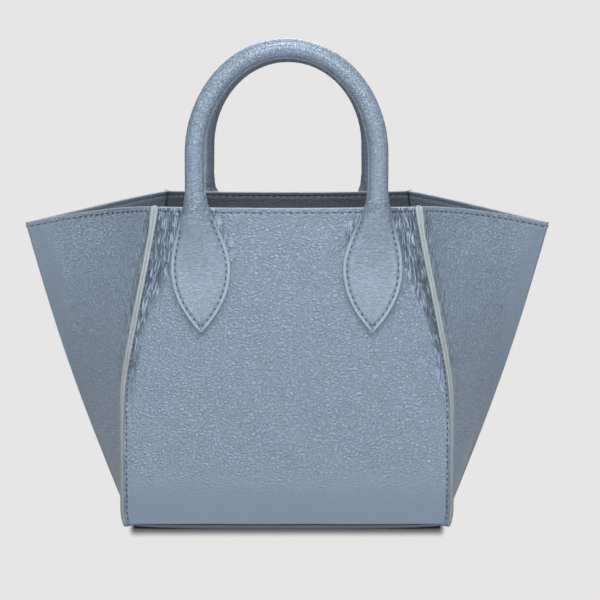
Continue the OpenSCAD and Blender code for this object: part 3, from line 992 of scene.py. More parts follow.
def wing_worn_and_shaded(m, v):
    """The grain is pulled smooth along the crease, and pressed smooth near the foot. Both are also
    darkened as painted shade.
    """
    at_crease = ease_between(*WORN_SHADE_AT_CREASE, wing_share(m)[0])
    shade_at_foot = 1 - ease_between(*WORN_SHADE_AT_FOOT, row_z(v))
    return 0.9 * max(at_crease, shade_at_foot)


# %% Cut and form the wings
WING_SEED, LEFT_SEED = 11.4, 17.2


def make_wing(name, node, seed, at_left):
    bm, where = cut_sheet(wing_cuts, leather_rows)
    form_sheet(bm, where, wing_shape)
    emboss(bm, where, wing_relief(seed))
    dress(bm, where, flat_wing, wing_gather, wing_valley_shade(seed), wing_worn_and_shaded)
    mirror_sheet(bm, -1 if at_left else 1, 1)
    piece = make_piece(name, bm, body_leather, "bag_body", [node])
    thicken(piece, LEATHER_T - GLUE)


make_wing("right_wing", "right_gusset", WING_SEED, False)
make_wing("left_wing", "left_gusset", LEFT_SEED, True)

# %% [markdown]
# ## Stitches
# A stitch shows as a short, plump dash that the thread pulls into the leather. Rows could be
# painted on or cut as grooves, but at a slant they look flat. So each stitch is a small stretched
# ball, set down at an even pitch along a line that lies on the surface of its piece.

# %% Places on a surface, at an even pitch
NUDGE = 0.002


def surface_place(shape, relief, cut, row, face=1):
    """A point on a formed sheet, and the way out of its face."""
    p = shape(cut, row)
    right = shape(cut + NUDGE, row) - shape(cut - NUDGE, row)
    up = shape(cut, row + NUDGE) - shape(cut, row - NUDGE)
    out = right.cross(up).normalized() * face
    return p + out * relief(cut, row, p), out


def even_shares(line, pitch, samples=400):
    """Shares of a line at which stitches of an even pitch fall, half a pitch in from its ends."""
    shares = spread(0, 1, samples)
    spots = [line(share)[0] for share in shares]
    lengths = [0.0]
    for before, after in zip(spots, spots[1:]):
        lengths.append(lengths[-1] + (after - before).length)
    count = max(1, round(lengths[-1] / pitch))
    wanted = [(n + 0.5) * lengths[-1] / count for n in range(count)]
    found, at = [], 0
    for length in wanted:
        while lengths[at + 1] < length:
            at += 1
        part = (length - lengths[at]) / (lengths[at + 1] - lengths[at])
        found.append(lerp(shares[at], shares[at + 1], part))
    return found


# %% Sew along a line
TURN = 0.1
STITCH_SUNK = 0.28


def stitch_at(bm, line, share, size, slant, moved):
    here, out = line(share)
    near, far = line(max(share - NUDGE, 0))[0], line(min(share + NUDGE, 1))[0]
    spot, tip = moved(here), moved(here + out * TURN)
    out = (tip - spot).normalized()
    along = moved(far) - moved(near)
    along = (along - out * along.dot(out)).normalized()
    along = Matrix.Rotation(math.radians(slant), 3, out) @ along
    turned = Matrix((along, out.cross(along), out)).transposed().to_4x4()
    spot = spot + out * (0.5 * size[2] - STITCH_SUNK)
    grown = Matrix.Diagonal((*[c / 2 * MM for c in size], 1))
    place = Matrix.Translation(spot * MM) @ turned @ grown
    bmesh.ops.create_uvsphere(bm, u_segments=8, v_segments=6, radius=1, matrix=place)


def sew(name, lines, pitch, size, material, slant=0, moved=Vector, body="bag_body"):
    bm = bmesh.new()
    for line in lines:
        for share in even_shares(line, pitch):
            stitch_at(bm, line, share, size, slant, moved)
    bmesh.ops.recalc_face_normals(bm, faces=bm.faces)
    return make_piece(name, bm, material, body)


# %% Rows along the hem and beside the corner seams
HEM_SIZE, HEM_PITCH = (2.5, 1.0, 0.62), 4.35
SEAM_SIZE, SEAM_PITCH = (1.7, 0.9, 0.6), 3.4
HEM_SLANT = -8
HEM_ROW = 1 - HEM_STITCH / (BODY_H - FOOT_Z)
SEAM_CUT = 1.22
WALL_SIDES = (("front", (1, 1)), ("back", (1, -1)))
WING_SIDES = (("right", (1, 1)), ("left", (-1, 1)))


def mirror(x_sign, y_sign):
    def moved(p):
        return Vector((p.x * x_sign, p.y * y_sign, p.z))
    return moved


def hem_line(shape, relief, reach):
    def line(share):
        return surface_place(shape, relief, lerp(-reach, reach, share), HEM_ROW)
    return line


def seam_line(shape, relief, hand):
    def line(share):
        return surface_place(shape, relief, hand * SEAM_CUT, lerp(0.015, 0.985, share))
    return line


def sew_outside(sides, shape, relief, hem_reach):
    hems = [hem_line(shape, relief, hem_reach)]
    seams = [seam_line(shape, relief, hand) for hand in (-1, 1)]
    for name, signs in sides:
        slant = HEM_SLANT * signs[0] * signs[1]
        sew(name + "_hem_stitches", hems, HEM_PITCH, HEM_SIZE, thread, slant, mirror(*signs))
        sew(name + "_seam_stitches", seams, SEAM_PITCH, SEAM_SIZE, thread, 0, mirror(*signs))


sew_outside(WALL_SIDES, wall_shape, wall_relief(WALL_SEED), 0.975)
sew_outside(WING_SIDES, wing_shape, wing_relief(WING_SEED), 0.97)

# %% [markdown]
# ## Painted edges
# The two layers of each corner seam are cut level and painted, which leaves two round strands
# with a fine groove between them. A ring with two lobes, moved up the seam, makes that bead. The
# same tube tool makes the plain bead that seals the rim.

# %% A tube through rings of points
def grid_through(rings):
    """An open grid whose rows pass through the rings. Its last column lies on its first."""
    bm = bmesh.new()
    bmesh.ops.create_grid(bm, x_segments=len(rings[0]), y_segments=len(rings) - 1, size=1)
    bm.verts.ensure_lookup_table()
    spots = [point for ring in rings for point in (*ring, ring[0])]
    for vert, spot in zip(bm.verts, spots):
        vert.co = spot * MM
    return bm


def sew_tube(bm):
    """Joins the two long edges of a rolled grid and closes its ends."""
    bmesh.ops.remove_doubles(bm, verts=bm.verts, dist=1e-6)
    rims = [edge for edge in bm.edges if edge.is_boundary]
    bmesh.ops.holes_fill(bm, edges=rims, sides=0)
    bmesh.ops.recalc_face_normals(bm, faces=bm.faces)


def tube(rings):
    bm = grid_through(rings)
    sew_tube(bm)
    return bm


# %% Double bead on each corner seam
LOBE = 0.88
BEAD_H, BEAD_GROOVE, BEAD_WRAP, BEAD_ROUND = 0.95, 0.25, 0.9, 1.6
BEAD_SPLAY, SPLAY_RISE = 0.28, (176, 191)
BEAD_CAP = 0.3
lobe_turns = spread(180, 0, 7)


def lobe(middle, turns):
    for turn in turns:
        a = math.radians(turn)
        yield middle + LOBE * math.cos(a), max(BEAD_GROOVE, BEAD_H * math.sin(a))


def bead_outline():
    humps = [*lobe(-LOBE, lobe_turns), *lobe(LOBE, lobe_turns[1:])]
    return [(-2 * LOBE, -BEAD_WRAP)] + humps + [(2 * LOBE, -BEAD_WRAP)]


def seam_bead(v, at_back):
    z = row_z(v)
    way = fin_dir(z)
    face = Vector((-way.y, way.x))
    top = clamp01((z - BODY_H + BEAD_ROUND) / BEAD_ROUND)
    shrink = math.sqrt(1 - 0.85 * top * top)
    splay = (1 + BEAD_SPLAY * ease_between(*SPLAY_RISE, z)) * shrink
    tip = seam(z) + FIN_W * way
    height = z + fin_lift(z, at_back) - foot_sag(1, z) + BEAD_CAP * (v >= 1)
    ring = []
    for across, up in bead_outline():
        p = tip + way * up * shrink + face * across * splay
        ring.append(Vector((p.x, p.y, height)))
    return ring


bead_top = 1 - 2 * BEAD_ROUND / BODY_H
bead_rows = join_runs(spread(0, bead_top, 90), spread(bead_top, 1, 12))
for depth, y_sign in (("front", 1), ("back", -1)):
    for hand, x_sign in (("left", -1), ("right", 1)):
        corner = f"{depth}_{hand}"
        bm = tube([seam_bead(v, depth == "back") for v in bead_rows])
        mirror_sheet(bm, x_sign, y_sign)
        make_piece(corner + "_edge_paint", bm, edge_paint, "bag_body",
                   [corner + "_seam_edge"])

# %% Inner faces of the walls and wings
INSIDE = -GLUE - LINING_T


def inner_corner(at, out):
    """Inner layers meet at the mitre of the corner."""
    start = wing_way(at, 0)
    return at[0] + out * mitre(Vector((0, -1)), Vector((start.y, -start.x)))


def inner_wall(u, v, out=INSIDE):
    z = wall_height(abs(u), v)
    corner = inner_corner(wing_frame(v), out)
    return Vector((u * corner.x, corner.y - wall_crown(u, z), z))


def inner_wing(m, v, out=INSIDE):
    at = wing_frame(v)
    t = 1 - abs(m)
    if t <= 0:
        p = inner_corner(at, out)
    elif t >= 1:
        p = Vector((at[1] + out / wing_way(at, 1).y, 0))
    else:
        p = wing_flesh(at, t, out)
    return Vector((p.x, -side_of(m) * p.y, wing_height(t, v)))


# %% Bead along the rim
RIM_BEAD_UP, RIM_BEAD_SUNK, RIM_BEAD_WIDER = 0.5, 0.05, 1.04
rim_turns = spread(0, 330, 11)


def rim_ring(outer, inner):
    middle = (outer + inner) / 2
    across = (outer - inner) / 2 * RIM_BEAD_WIDER
    ring = []
    for angle in rim_turns:
        a = math.radians(angle)
        up = Vector((0, 0, RIM_BEAD_UP * math.sin(a) - RIM_BEAD_SUNK))
        ring.append(middle + across * math.cos(a) + up)
    return ring


wall_rim = [rim_ring(wall_shape(u, 1), inner_wall(u, 1)) for u in spread(-1, 1, 70)]
wing_rim = [rim_ring(wing_shape(m, 1), inner_wing(m, 1)) for m in spread(-1, 1, 90)]
for sides, rings in ((WALL_SIDES, wall_rim), (WING_SIDES, wing_rim)):
    for name, signs in sides:
        moved = mirror(*signs)
        bm = tube([[moved(p) for p in ring] for ring in rings])
        make_piece(name + "_rim_paint", bm, rim_paint, "bag_body")

# %% [markdown]
# ## Facing and lining
# Inside the rim a band of smooth leather faces the mouth, and below it a cloth lining covers the
# walls. Both are sheets a millimetre thick. The facing overlaps the lining a little, so its lower
# edge shows as a step with a row of stitches above it.

# %% Inner sheets
FACING_FOOT = 1 - FACING_H / BODY_H
facing_rows = join_runs(spread(FACING_FOOT, 1 - HEM_SHARE, 24), spread(1 - HEM_SHARE, 1, 14))
lining_rows = spread(0, FACING_FOOT, 60)
inner_cuts = spread(-1, 1, 96)
print("facing grid:", len(inner_cuts), "by", len(facing_rows))


def facing_relief(height):
    def relief(cut, v, p):
        below = height(cut, 1) - p.z
        above = p.z - height(cut, FACING_FOOT)
        swell = 0.25 * noise.noise(Vector((p.x / 22, p.y / 22 + 9, p.z / 30)))
        return 0.8 * hem(below) + swell - 0.3 * bell(above, 2.2, 0.6) - 0.25 * bell(above, 0, 0.8)
    return relief


def lining_relief(cut, v, p):
    return 0.45 * noise.noise(Vector((p.x / 20, p.y / 20, p.z / 26))) + 0.1


def wall_cut_height(u, v):
    return wall_height(abs(u), v)


def wing_cut_height(m, v):
    return wing_height(1 - abs(m), v)


def flat_inner_wing(m, v):
    return (m * wing_length(wing_frame(v)) * MM, row_z(v) * MM)


# %% Cut and form the facings and linings
CLOTH_BACK, CLOTH_T = 0.25, LINING_T - 0.35


def form_inside(bm, where, shape, relief, flat):
    """Forms a sheet whose face looks into the bag."""
    form_sheet(bm, where, shape)
    bmesh.ops.reverse_faces(bm, faces=bm.faces)
    bm.normal_update()
    emboss(bm, where, relief)
    dress(bm, where, flat)


def face_and_line(sides, shape, height, flat, leather_finish):
    def behind_facing(cut, v):
        return shape(cut, v, INSIDE + CLOTH_BACK)

    for name, signs in sides:
        bm, where = cut_sheet(inner_cuts, facing_rows)
        form_inside(bm, where, shape, facing_relief(height), flat)
        mirror_sheet(bm, *signs)
        facing = make_piece(name + "_facing_leather", bm, leather_finish, "bag_body",
                            [name + "_facing"])
        thicken(facing, LINING_T)
        bm, where = cut_sheet(inner_cuts, lining_rows)
        form_inside(bm, where, behind_facing, lining_relief, flat)
        mirror_sheet(bm, *signs)
        lining = make_piece(name + "_lining_cloth", bm, lining_cloth, "bag_body",
                            [name + "_lining"])
        thicken(lining, CLOTH_T)


face_and_line(WALL_SIDES, inner_wall, wall_cut_height, flat_wall, facing_leather)
face_and_line(WING_SIDES, inner_wing, wing_cut_height, flat_inner_wing, wing_facing_leather)

# %% [markdown]
# ## The slip pocket
# A flat pocket of the lining's cloth is sewn on the back lining along three sides. Its mouth is
# turned over and stitched, and stands off a little in the middle, as cloth does when a pocket
# has been used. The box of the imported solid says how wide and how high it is.

# %% Slip pocket on the back lining
POCKET_GAPE, POCKET_T = 1.6, 0.5
POCKET_SIDE, POCKET_HEM, HEM_FOLD = 1.6, 6.2, (7, 7.6)
pocket_low, pocket_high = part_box("slip_pocket")
pocket_half = pocket_high.x / MM
pocket_foot, pocket_top = pocket_low.z / MM, pocket_high.z / MM
pocket_h = pocket_top - pocket_foot
print(f"pocket: {2 * pocket_half:.0f} wide and {pocket_h:.0f} high")


def pocket_shape(u, t):
    z = lerp(pocket_foot, pocket_top, t)
    gape = POCKET_GAPE * ease(t) * (1 - u * u) + 0.3
    return Vector((u * pocket_half, inner_wall(0, (z - FOOT_Z) / BODY_H).y + GLUE + gape, z))


def pocket_relief(u, t, p):
    below = pocket_top - p.z
    side = pocket_half * (1 - abs(u))
    turned = 0.35 * (1 - ease_between(*HEM_FOLD, below))
    pressed = 0.3 * bell(side, POCKET_SIDE, 0.7) + 0.3 * bell(below, POCKET_HEM, 0.6)
    return turned - pressed + 0.3 * noise.noise(Vector((p.x / 16, 4, p.z / 16)))


def flat_pocket(u, t):
    return (u * pocket_half * MM, t * pocket_h * MM)


bm, where = cut_sheet(spread(-1, 1, 72), spread(0, 1, 60))
form_inside(bm, where, pocket_shape, pocket_relief, flat_pocket)
mirror_sheet(bm, 1, -1)
pocket = make_piece("pocket_cloth", bm, lining_cloth, "bag_body", ["slip_pocket"])
thicken(pocket, POCKET_T)

# %% [markdown]
# ## Rows inside the bag
# The hem stitches come through to the inner side, a second row holds the lower edge of the
# facing, and the pocket is sewn round its sides and foot and across its turned mouth. These rows
# use the paler thread, and lie on the inner surfaces, so their way out points into the bag.

# %% Rows on the facings
INNER_SIZE = (2.2, 0.75, 0.55)
FOOT_ROW = FACING_FOOT + 2.2 / (BODY_H - FOOT_Z)


def facing_line(shape, height, row):
    def line(share):
        return surface_place(shape, facing_relief(height), lerp(-0.96, 0.96, share), row, -1)
    return line


for sides, shape, height in ((WALL_SIDES, inner_wall, wall_cut_height),
                             (WING_SIDES, inner_wing, wing_cut_height)):
    rows = [facing_line(shape, height, row) for row in (HEM_ROW, FOOT_ROW)]
    for name, signs in sides:
        sew(name + "_facing_stitches", rows, HEM_PITCH, INNER_SIZE, pale_thread, 0, mirror(*signs))

# %% Rows on the pocket
POCKET_SIZE, POCKET_PITCH = (2.0, 0.6, 0.4), 3.6


def pocket_line(start, end):
    def line(share):
        at = start.lerp(end, share)
        return surface_place(pocket_shape, pocket_relief, at.x, at.y, -1)
    return line


side, foot, head = 1 - POCKET_SIDE / pocket_half, POCKET_SIDE / pocket_h, 1 - POCKET_HEM / pocket_h
corners = [Vector((-side, 0.99)), Vector((-side, foot)), Vector((side, foot)), Vector((side, 0.99))]
pocket_rows = [pocket_line(a, b) for a, b in zip(corners, corners[1:])]
pocket_rows.append(pocket_line(Vector((-0.93, head)), Vector((0.93, head))))
sew("pocket_stitches", pocket_rows, POCKET_PITCH, POCKET_SIZE, pale_thread, 0, mirror(1, -1))

# %% [markdown]
# ## The base
# The base is a thick sole with rounded corners. It bears on the table in the middle and curls up
# a little towards the two ends, which is why the shadow is darkest at the corners. A grid is
# pressed into a rounded rectangle, thickened, and bent.

# %% Press a square into a rounded plate
def rounded(x, y, half_x, half_y, radius):
    """Presses a point of a square of half size 1 into a rounded rectangle."""
    p = Vector((x * half_x, y * half_y))
    over = Vector((max(abs(p.x) - half_x + radius, 0), max(abs(p.y) - half_y + radius, 0)))
    if over.x > 0 and over.y > 0:
        pressed = over.normalized() * max(over.x, over.y)
        p.x = math.copysign(half_x - radius + pressed.x, p.x)
        p.y = math.copysign(half_y - radius + pressed.y, p.y)
    return p


# %% Sole and base lining
END_LIFT = 2.2
BASE_R, SOLE_EDGE_R, CLOTH_EDGE_R = 6, 0.7, 0.3


def end_lift(x, half_x):
    return END_LIFT * abs(x / half_x) ** 4


def make_plate(name, node, material, edge_r, lifted):
    low, high = (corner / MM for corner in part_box(node))
    thick = high.z - low.z
    bm = bmesh.new()
    bmesh.ops.create_grid(bm, x_segments=90, y_segments=56, size=1)
    for vert in bm.verts:
        p = rounded(vert.co.x, vert.co.y, high.x, high.y, BASE_R)
        vert.co = Vector((p.x, p.y, high.z)) * MM
    bm.normal_update()
    map_flat(bm, [(vert.co.x, vert.co.y) for vert in bm.verts])
    bmesh.ops.solidify(bm, geom=bm.faces, thickness=thick * MM)
    bmesh.ops.recalc_face_normals(bm, faces=bm.faces)
    sharp = [edge for edge in bm.edges if edge.calc_face_angle(0) > 1]
    bmesh.ops.bevel(bm, geom=sharp, offset=edge_r * MM, segments=4, profile=0.5, affect="EDGES",
                    material=-1)
    if lifted:
        for vert in bm.verts:
            above = (vert.co.z / MM - low.z) / thick
            vert.co.z += end_lift(vert.co.x / MM, high.x) * lerp(1, 0.25, above) * MM
    # The whole plate is marked smooth, which also takes a leather's colour down to the darker tone of
    # the smooth parts.
    paint_points(bm, "worn_and_shaded", [1.0] * len(bm.verts))
    make_piece(name, bm, material, "bag_body", [node])


make_plate("base_sole", "base_panel", base_leather, SOLE_EDGE_R, True)
make_plate("base_lining_cloth", "base_lining", lining_cloth, CLOTH_EDGE_R, False)

# %% [markdown]
# ## Handles
# Each handle is one strip of leather. Its pointed ends lie on the wall as tabs, and between them
# it is rolled round a cord. Its inner edge lies on top of the roll and is painted, and a row of
# stitches behind it holds the roll shut. The skin is one grid: each ring blends from the flat
# section of the tab to the round section of the roll, and the rings follow the handle's path.

# %% Columns round the strip
FACE_END, BAND_END, BACK_EDGE = 0.62, 0.82, 0.11
STEP_AT, STEP_H, ROLL_STITCH = 94, 0.6, 148
front_steps = join_runs(spread(0, FACE_END, 20), spread(FACE_END, BAND_END, 7),
                        spread(BAND_END, 1, 6))
back_steps = [0.02, 0.035, 0.05, 0.07, BACK_EDGE, 0.15, 0.2, 0.26, 0.32]
back_steps += [0.38, 0.45, 0.52, 0.6, 0.7, 0.8, 0.9, 1.0]
ring_columns = [(-1, True, s) for s in reversed(back_steps)]
ring_columns += [(-1, False, s) for s in reversed(front_steps[1:])]
ring_columns += [(1, False, s) for s in front_steps]
ring_columns += [(1, True, s) for s in back_steps[:-1]]
print("columns round a handle:", len(ring_columns))


def round_angle(column):
    """Degrees from the outward side of the roll, positive towards the inside of the arch."""
    side, behind, s = column
    return side * (90 * (1 + s) if behind else 90 * s)


# %% Bands along a tab's outline
EDGE_R = 1.25
BAND, TAB_STITCH, GROOVE_IN = 1.35, 2.6, 3.7
STEP_Z = 0.2


def tab_slope(z):
    return (tab_half(z + STEP_Z) - tab_half(z - STEP_Z)) / (2 * STEP_Z)


def tab_bands(z):
    """Half width, slant of the outline, and where the painted edge and the groove begin."""
    half = max(tab_half(z), 0.02)
    slant = math.hypot(1, tab_slope(z))
    return half, slant, min(EDGE_R * slant, 0.5 * half), min(GROOVE_IN * slant, 0.8 * half)


def tab_inset(column, z):
    """Sideways place on a tab's section, and its distance in from the outline."""
    _, behind, s = column
    half, slant, band, groove = tab_bands(z)
    if behind:
        x = half * (1 - max(0, s - BACK_EDGE) / (1 - BACK_EDGE))
    elif s < FACE_END:
        x = (half - groove) * s / FACE_END
    elif s < BAND_END:
        x = lerp(half - groove, half - band, (s - FACE_END) / (BAND_END - FACE_END))
    else:
        x = half - band + band * math.sin(math.pi / 2 * (s - BAND_END) / (1 - BAND_END))
    return x, (half - x) / slant


def tab_border(inset):
    """Relief beside a tab's outline: a soft ridge, the stitches' groove, the paint's edge."""
    ridge = 0.3 * bell(inset, 4.2, 1.1)
    return ridge - 0.42 * bell(inset, TAB_STITCH, 0.5) - 0.2 * bell(inset, BAND + 0.1, 0.25)


# %% Flat section of a tab
TAB_EDGE = 3.0
SWELL_TOP = 2 * HANDLE_R - 1


def tab_swell(z):
    return lerp(TAB_EDGE, SWELL_TOP, ease_between(WIDE_Z - 8, BODY_H - 1, z))


def flat_section(column, z):
    _, behind, s = column
    x, inset = tab_inset(column, z)
    if behind:
        return x, lerp(TAB_EDGE / 2, 0, clamp01(s / BACK_EDGE))
    half = tab_bands(z)[0]
    short = clamp01(1 - inset / EDGE_R)
    depth = TAB_EDGE - EDGE_R * (1 - math.sqrt(1 - short * short))
    depth += (tab_swell(z) - TAB_EDGE) * (1 - (x / half) ** 2)
    depth += tab_border(inset) * (1 - ease_between(BODY_H - 14, BODY_H + 2, z))
    return x, max(depth, 0.2)


# %% Round section of the roll
ROLL_GROOVE = 0.22


def roll_radius(angle, amount):
    """The strip's inner edge makes a small step, and the stitches behind it pull in a groove."""
    past = angle - STEP_AT if angle >= 0 else 360 + angle - STEP_AT
    over = ease((past + 1.5) / 3) * (1 - ease_between(20, 200, past)) if past > -3 else 0
    groove = ROLL_GROOVE * bell(past, ROLL_STITCH - STEP_AT, 7)
    return HANDLE_R + amount * (STEP_H * over - groove)


def round_section(column, amount):
    angle = round_angle(column)
    radius = roll_radius(angle, amount)
    a = math.radians(angle)
    return abs(radius * math.sin(a)), HANDLE_R + radius * math.cos(a)


# %% Rings along the tabs
NECK = (WIDE_Z + 14, BODY_H + 3)


def wall_face(x, z):
    u = clamp01(abs(x) / seam_x(z))
    return seam_y(min(z, BODY_H)) + wall_crown(u, min(z, BODY_H)) + LEATHER_T


front_joint = next(joint for joint in frame["joints"] if joint["name"] == "front_handle_lean")
FLEX = Vector(front_joint["pos_m"]) / MM
FLEX_Y, FLEX_Z = -FLEX.y, FLEX.z
REST_LEAN = 22
print(f"flex line {FLEX_Y:.2f} out and {FLEX_Z:.1f} up")


def tab_section(column, z):
    share = ease_between(*NECK, z)
    flat_x, flat_out = flat_section(column, z)
    round_x, round_out = round_section(column, ease_between(BODY_H - 1, FLARE_Z, z))
    round_x *= tab_half(z) / HANDLE_R
    side = column[0]
    x = side * lerp(flat_x, round_x, share)
    world_x = tab_mid(z) - x
    back = lerp(wall_face(world_x, z) + GLUE, FLEX_Y - HANDLE_R, share)
    return x, back + lerp(flat_out, round_out, share)


# %% Points along the strip
ARCH_LEG = 24
ARCH_RISE = top_of("front_handle") - HANDLE_R - FLEX_Z - ARCH_LEG


def arch_at(degrees):
    """Middle of the roll and its inward direction in the x-z plane, from left to right."""
    a = math.radians(180 - degrees)
    half = HANDLE_SPAN / 2
    middle = Vector((half * math.cos(a), FLEX_Z + ARCH_LEG + ARCH_RISE * math.sin(a)))
    return middle, -Vector((ARCH_RISE * math.cos(a), half * math.sin(a))).normalized()


def strip_point(column, station):
    """A station is a kind of stretch, a hand of -1 or 1 for its leg, and a height or an angle."""
    kind, hand, place = station
    if kind == "tab":
        x, out = tab_section(column, place)
        return Vector((hand * (tab_mid(place) - x), -out, place))
    if kind == "leg":
        middle, inward = Vector((hand * HANDLE_SPAN / 2, place)), Vector((-hand, 0))
    else:
        middle, inward = arch_at(place)
    x, out = round_section(column, 1.0)
    p = middle + inward * (column[0] * x)
    return Vector((p.x, -(FLEX_Y - HANDLE_R + out), p.y))


def handle_ring(station):
    return [strip_point(column, station) for column in ring_columns]


# %% The whole way along a handle
tab_heights = join_runs(spread(TAB_TIP_Z + 0.25, TAB_TIP_Z + 9, 22),
                        spread(TAB_TIP_Z + 9, FLEX_Z, 118), spread(FLEX_Z, FLARE_Z, 8))
leg_heights = spread(FLARE_Z, FLEX_Z + ARCH_LEG, 15)[1:]
handle_path = [("tab", -1, z) for z in tab_heights]
handle_path += [("leg", -1, z) for z in leg_heights]
handle_path += [("arch", 0, degrees) for degrees in spread(0, 180, 150)[1:-1]]
handle_path += [("leg", 1, z) for z in reversed(leg_heights)]
handle_path += [("tab", 1, z) for z in reversed(tab_heights)]
print("rings along a handle:", len(handle_path))

# %% [markdown]
# ## Paint and wrinkles of the handles
# The outline of a tab is painted, and so is the edge that lies on top of the roll. Where the
# strip bends in the necks it wrinkles across its path, and the roll has the same wrinkles, but
# finer. The lapped side, which faces the inside of the arch, is darkened as painted shade.

# %% Marks along the strip
WRINKLE_STEP, NECK_WRINKLE, ROLL_WRINKLE = 1.7, 0.42, 0.16


def in_neck(place):
    return bell(place, BODY_H + 1, 11)


def painted(column, station):
    kind, _, place = station
    side, behind, s = column
    angle = round_angle(column)
    on_roll = 1.0 if STEP_AT - 7 < angle < STEP_AT + 2 else 0.0
    if kind != "tab":
        return on_roll
    inset = tab_inset(column, place)[1]
    band = 1.0 if inset < BAND or (behind and s < BACK_EDGE) else 0.0
    if side > 0:
        return band if place < BODY_H - 4 else on_roll
    return band * (1 - ease_between(BODY_H - 8, BODY_H + 4, place))


def strip_gather(station):
    kind, _, place = station
    return 0.2 + 0.7 * in_neck(place) if kind == "tab" else 0.55


def lapped_side_shade(column, station):
    """Painted shade where the strip is lapped under, from its painted edge to the back."""
    kind, _, place = station
    lapped = ease_between(STEP_AT + 1, STEP_AT + 4, round_angle(column))
    return lapped * (1 if kind != "tab" else ease_between(BODY_H - 6, BODY_H + 6, place))


def strip_wrinkle(seed):
    """Folds across the path, fine on the roll and deeper in the necks. Calm where the edges meet."""
    def relief(column, station, p):
        kind, hand, place = station
        angle = round_angle(column)
        calm = 1 - ease_between(140, 172, abs(angle))
        if kind != "tab":
            step = (place if kind == "leg" else place * 1.1) / WRINKLE_STEP
            return ROLL_WRINKLE * calm * noise.noise(Vector((angle / 50, step, seed + hand)))
        across = noise.noise(Vector((angle / 60, place / 1.9, seed + hand)))
        return calm * (NECK_WRINKLE * in_neck(place) + 0.06) * across
    return relief


# %% [markdown]
# ## Building and bending a handle
# The skin lies over two bodies, the bag and the handle, and is attached to neither; its placement
# is baked into its mesh. The back handle rests leaning away, so its skin is bent to that lean
# first, more and more through the neck, as the leather does.

# %% Lean, and bake in place
FLEX_RUN = 10


def path_lengths(rings):
    middles = [sum(ring, Vector()) / len(ring) for ring in rings]
    lengths = [0.0]
    for before, after in zip(middles, middles[1:]):
        lengths.append(lengths[-1] + (after - before).length)
    return lengths


def lean_back(p, lean):
    """Turns a point of the back handle about its flex line, more and more through the neck."""
    turn = math.radians(lean) * ease_between(FLEX_Z - FLEX_RUN, FLEX_Z + FLEX_RUN, p.z / MM)
    pivot = Vector((0, FLEX_Y, FLEX_Z)) * MM
    return pivot + Matrix.Rotation(-turn, 3, "X") @ (p - pivot)


def flex_with(piece):
    """Bakes a piece's placement into its mesh."""
    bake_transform(piece)


# %% Cut, roll and lean a handle
GRAIN_ROUND = 1.35 * HANDLE_R


def flat_strip(rings):
    """Places on the flat map: round the roll across it, and along the handle's path up it."""
    first = round_angle(ring_columns[0])
    turns = [abs(round_angle(column) - first) for column in ring_columns] + [360.0]
    around = [math.radians(turn) * GRAIN_ROUND * MM for turn in turns]
    return [(across, length * MM) for length in path_lengths(rings) for across in around]


def make_handle(name, nodes, seed, at_back):
    rings = [handle_ring(station) for station in handle_path]
    closed_ring = (*ring_columns, ring_columns[0])
    marks = [(column, station) for station in handle_path for column in closed_ring]
    bm = grid_through(rings)
    bm.normal_update()
    emboss(bm, marks, strip_wrinkle(seed))
    map_flat(bm, flat_strip(rings))
    paint_points(bm, "paint", [painted(*mark) for mark in marks])
    paint_points(bm, "gather", [strip_gather(station) for _, station in marks])
    paint_points(bm, "painted_shade", [lapped_side_shade(*mark) for mark in marks])
    sew_tube(bm)
    if at_back:
        mirror_sheet(bm, 1, -1)
        for vert in bm.verts:
            vert.co = lean_back(vert.co, REST_LEAN)
    skin = make_piece(name, bm, handle_leather, None, nodes)
    flex_with(skin)


make_handle("front_handle_skin", ["front_handle", "front_left_handle_tab", "front_right_handle_tab"],
            2.0, False)
make_handle("back_handle_skin", ["back_handle", "back_left_handle_tab", "back_right_handle_tab"],
            8.0, True)

# %% [markdown]
# ## Rows on the tabs and along the roll
# Each tab is sewn down beside its painted outline, from its point up to the neck. The row that
# holds the roll shut runs on the side that faces the inside of the arch, so it hardly shows from
# the front. Both follow the strip's own columns, and the back handle's rows lean with it.

# %% Rows on the tabs
TAB_SIZE, TAB_PITCH = (2.4, 1.05, 0.62), 3.9


def stitch_column(side, z):
    """The column of a tab's section that lies on its row of stitches."""
    half, slant, band, groove = tab_bands(z)
    x = max(half - TAB_STITCH * slant, 0)
    if x > half - groove:
        return (side, False, lerp(FACE_END, BAND_END, (x - half + groove) / (groove - band)))
    return (side, False, FACE_END * x / (half - groove))


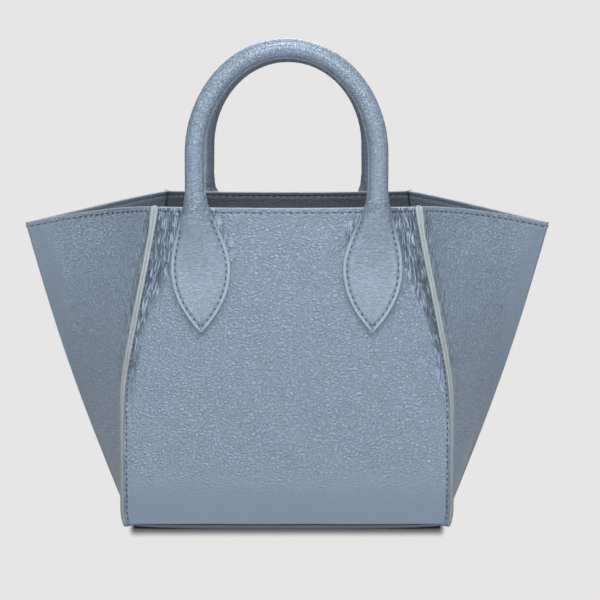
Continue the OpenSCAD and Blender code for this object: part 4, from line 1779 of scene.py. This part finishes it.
def tab_row(hand, side):
    top = BODY_H - (6 if side > 0 else 12)
    foot = TAB_TIP_Z
    while tab_half(foot) < TAB_STITCH * math.hypot(1, tab_slope(foot)):
        foot += 0.1

    def line(share):
        z = lerp(foot, top, share)
        here = strip_point(stitch_column(side, z), ("tab", hand, z))
        above = strip_point(stitch_column(side, z + STEP_Z), ("tab", hand, z + STEP_Z))
        aside = strip_point(stitch_column(-side, z), ("tab", hand, z))
        out = (above - here).cross(aside - here).normalized()
        return here, out if out.y < 0 else -out
    return line


# %% The row along the roll
ROLL_SIZE, ROLL_PITCH = (2.0, 0.7, 0.55), 3.6
ROLL_COLUMN = (1, True, ROLL_STITCH / 90 - 1)


def roll_row(share):
    place = share * (len(handle_path) - 1)
    before = min(int(place), len(handle_path) - 2)
    station = handle_path[before]
    here = strip_point(ROLL_COLUMN, station)
    after = strip_point(ROLL_COLUMN, handle_path[before + 1])
    middle = (strip_point((1, False, 0), station) + strip_point((1, True, 1), station)) / 2
    return here.lerp(after, place - before), (here - middle).normalized()


def on_the_roll(line):
    """The part of a line between the two flex lines."""
    first = next(n for n, station in enumerate(handle_path) if station[2] >= FLEX_Z - 8)
    low = first / (len(handle_path) - 1)

    def part(share):
        return line(lerp(low, 1 - low, share))
    return part


def behind(p):
    return lean_back(Vector((p.x, -p.y, p.z)) * MM, REST_LEAN) / MM


tab_rows = [tab_row(hand, side) for hand in (-1, 1) for side in (-1, 1)]
for depth, moved, at_back in (("front", Vector, False), ("back", behind, True)):
    sew(depth + "_tab_stitches", tab_rows, TAB_PITCH, TAB_SIZE, thread, 0, moved)
    roll = sew(depth + "_roll_stitches", [on_the_roll(roll_row)], ROLL_PITCH, ROLL_SIZE, thread,
               0, moved, None)
    flex_with(roll)

# %% [markdown]
# ## Finishes of the hidden pieces
# The base board, the cord in each roll and its fillers stay as imported, and only get a finish.

# %% Board, cords and fillers
def finish_node(node, material):
    solid = frame["nodes"][node]
    solid.data.materials.clear()
    solid.data.materials.append(material)


finish_node("base_board", board)
for depth in ("front", "back"):
    finish_node(depth + "_handle_core", foam)
    for hand in ("left", "right"):
        finish_node(f"{depth}_{hand}_tab_filler", foam)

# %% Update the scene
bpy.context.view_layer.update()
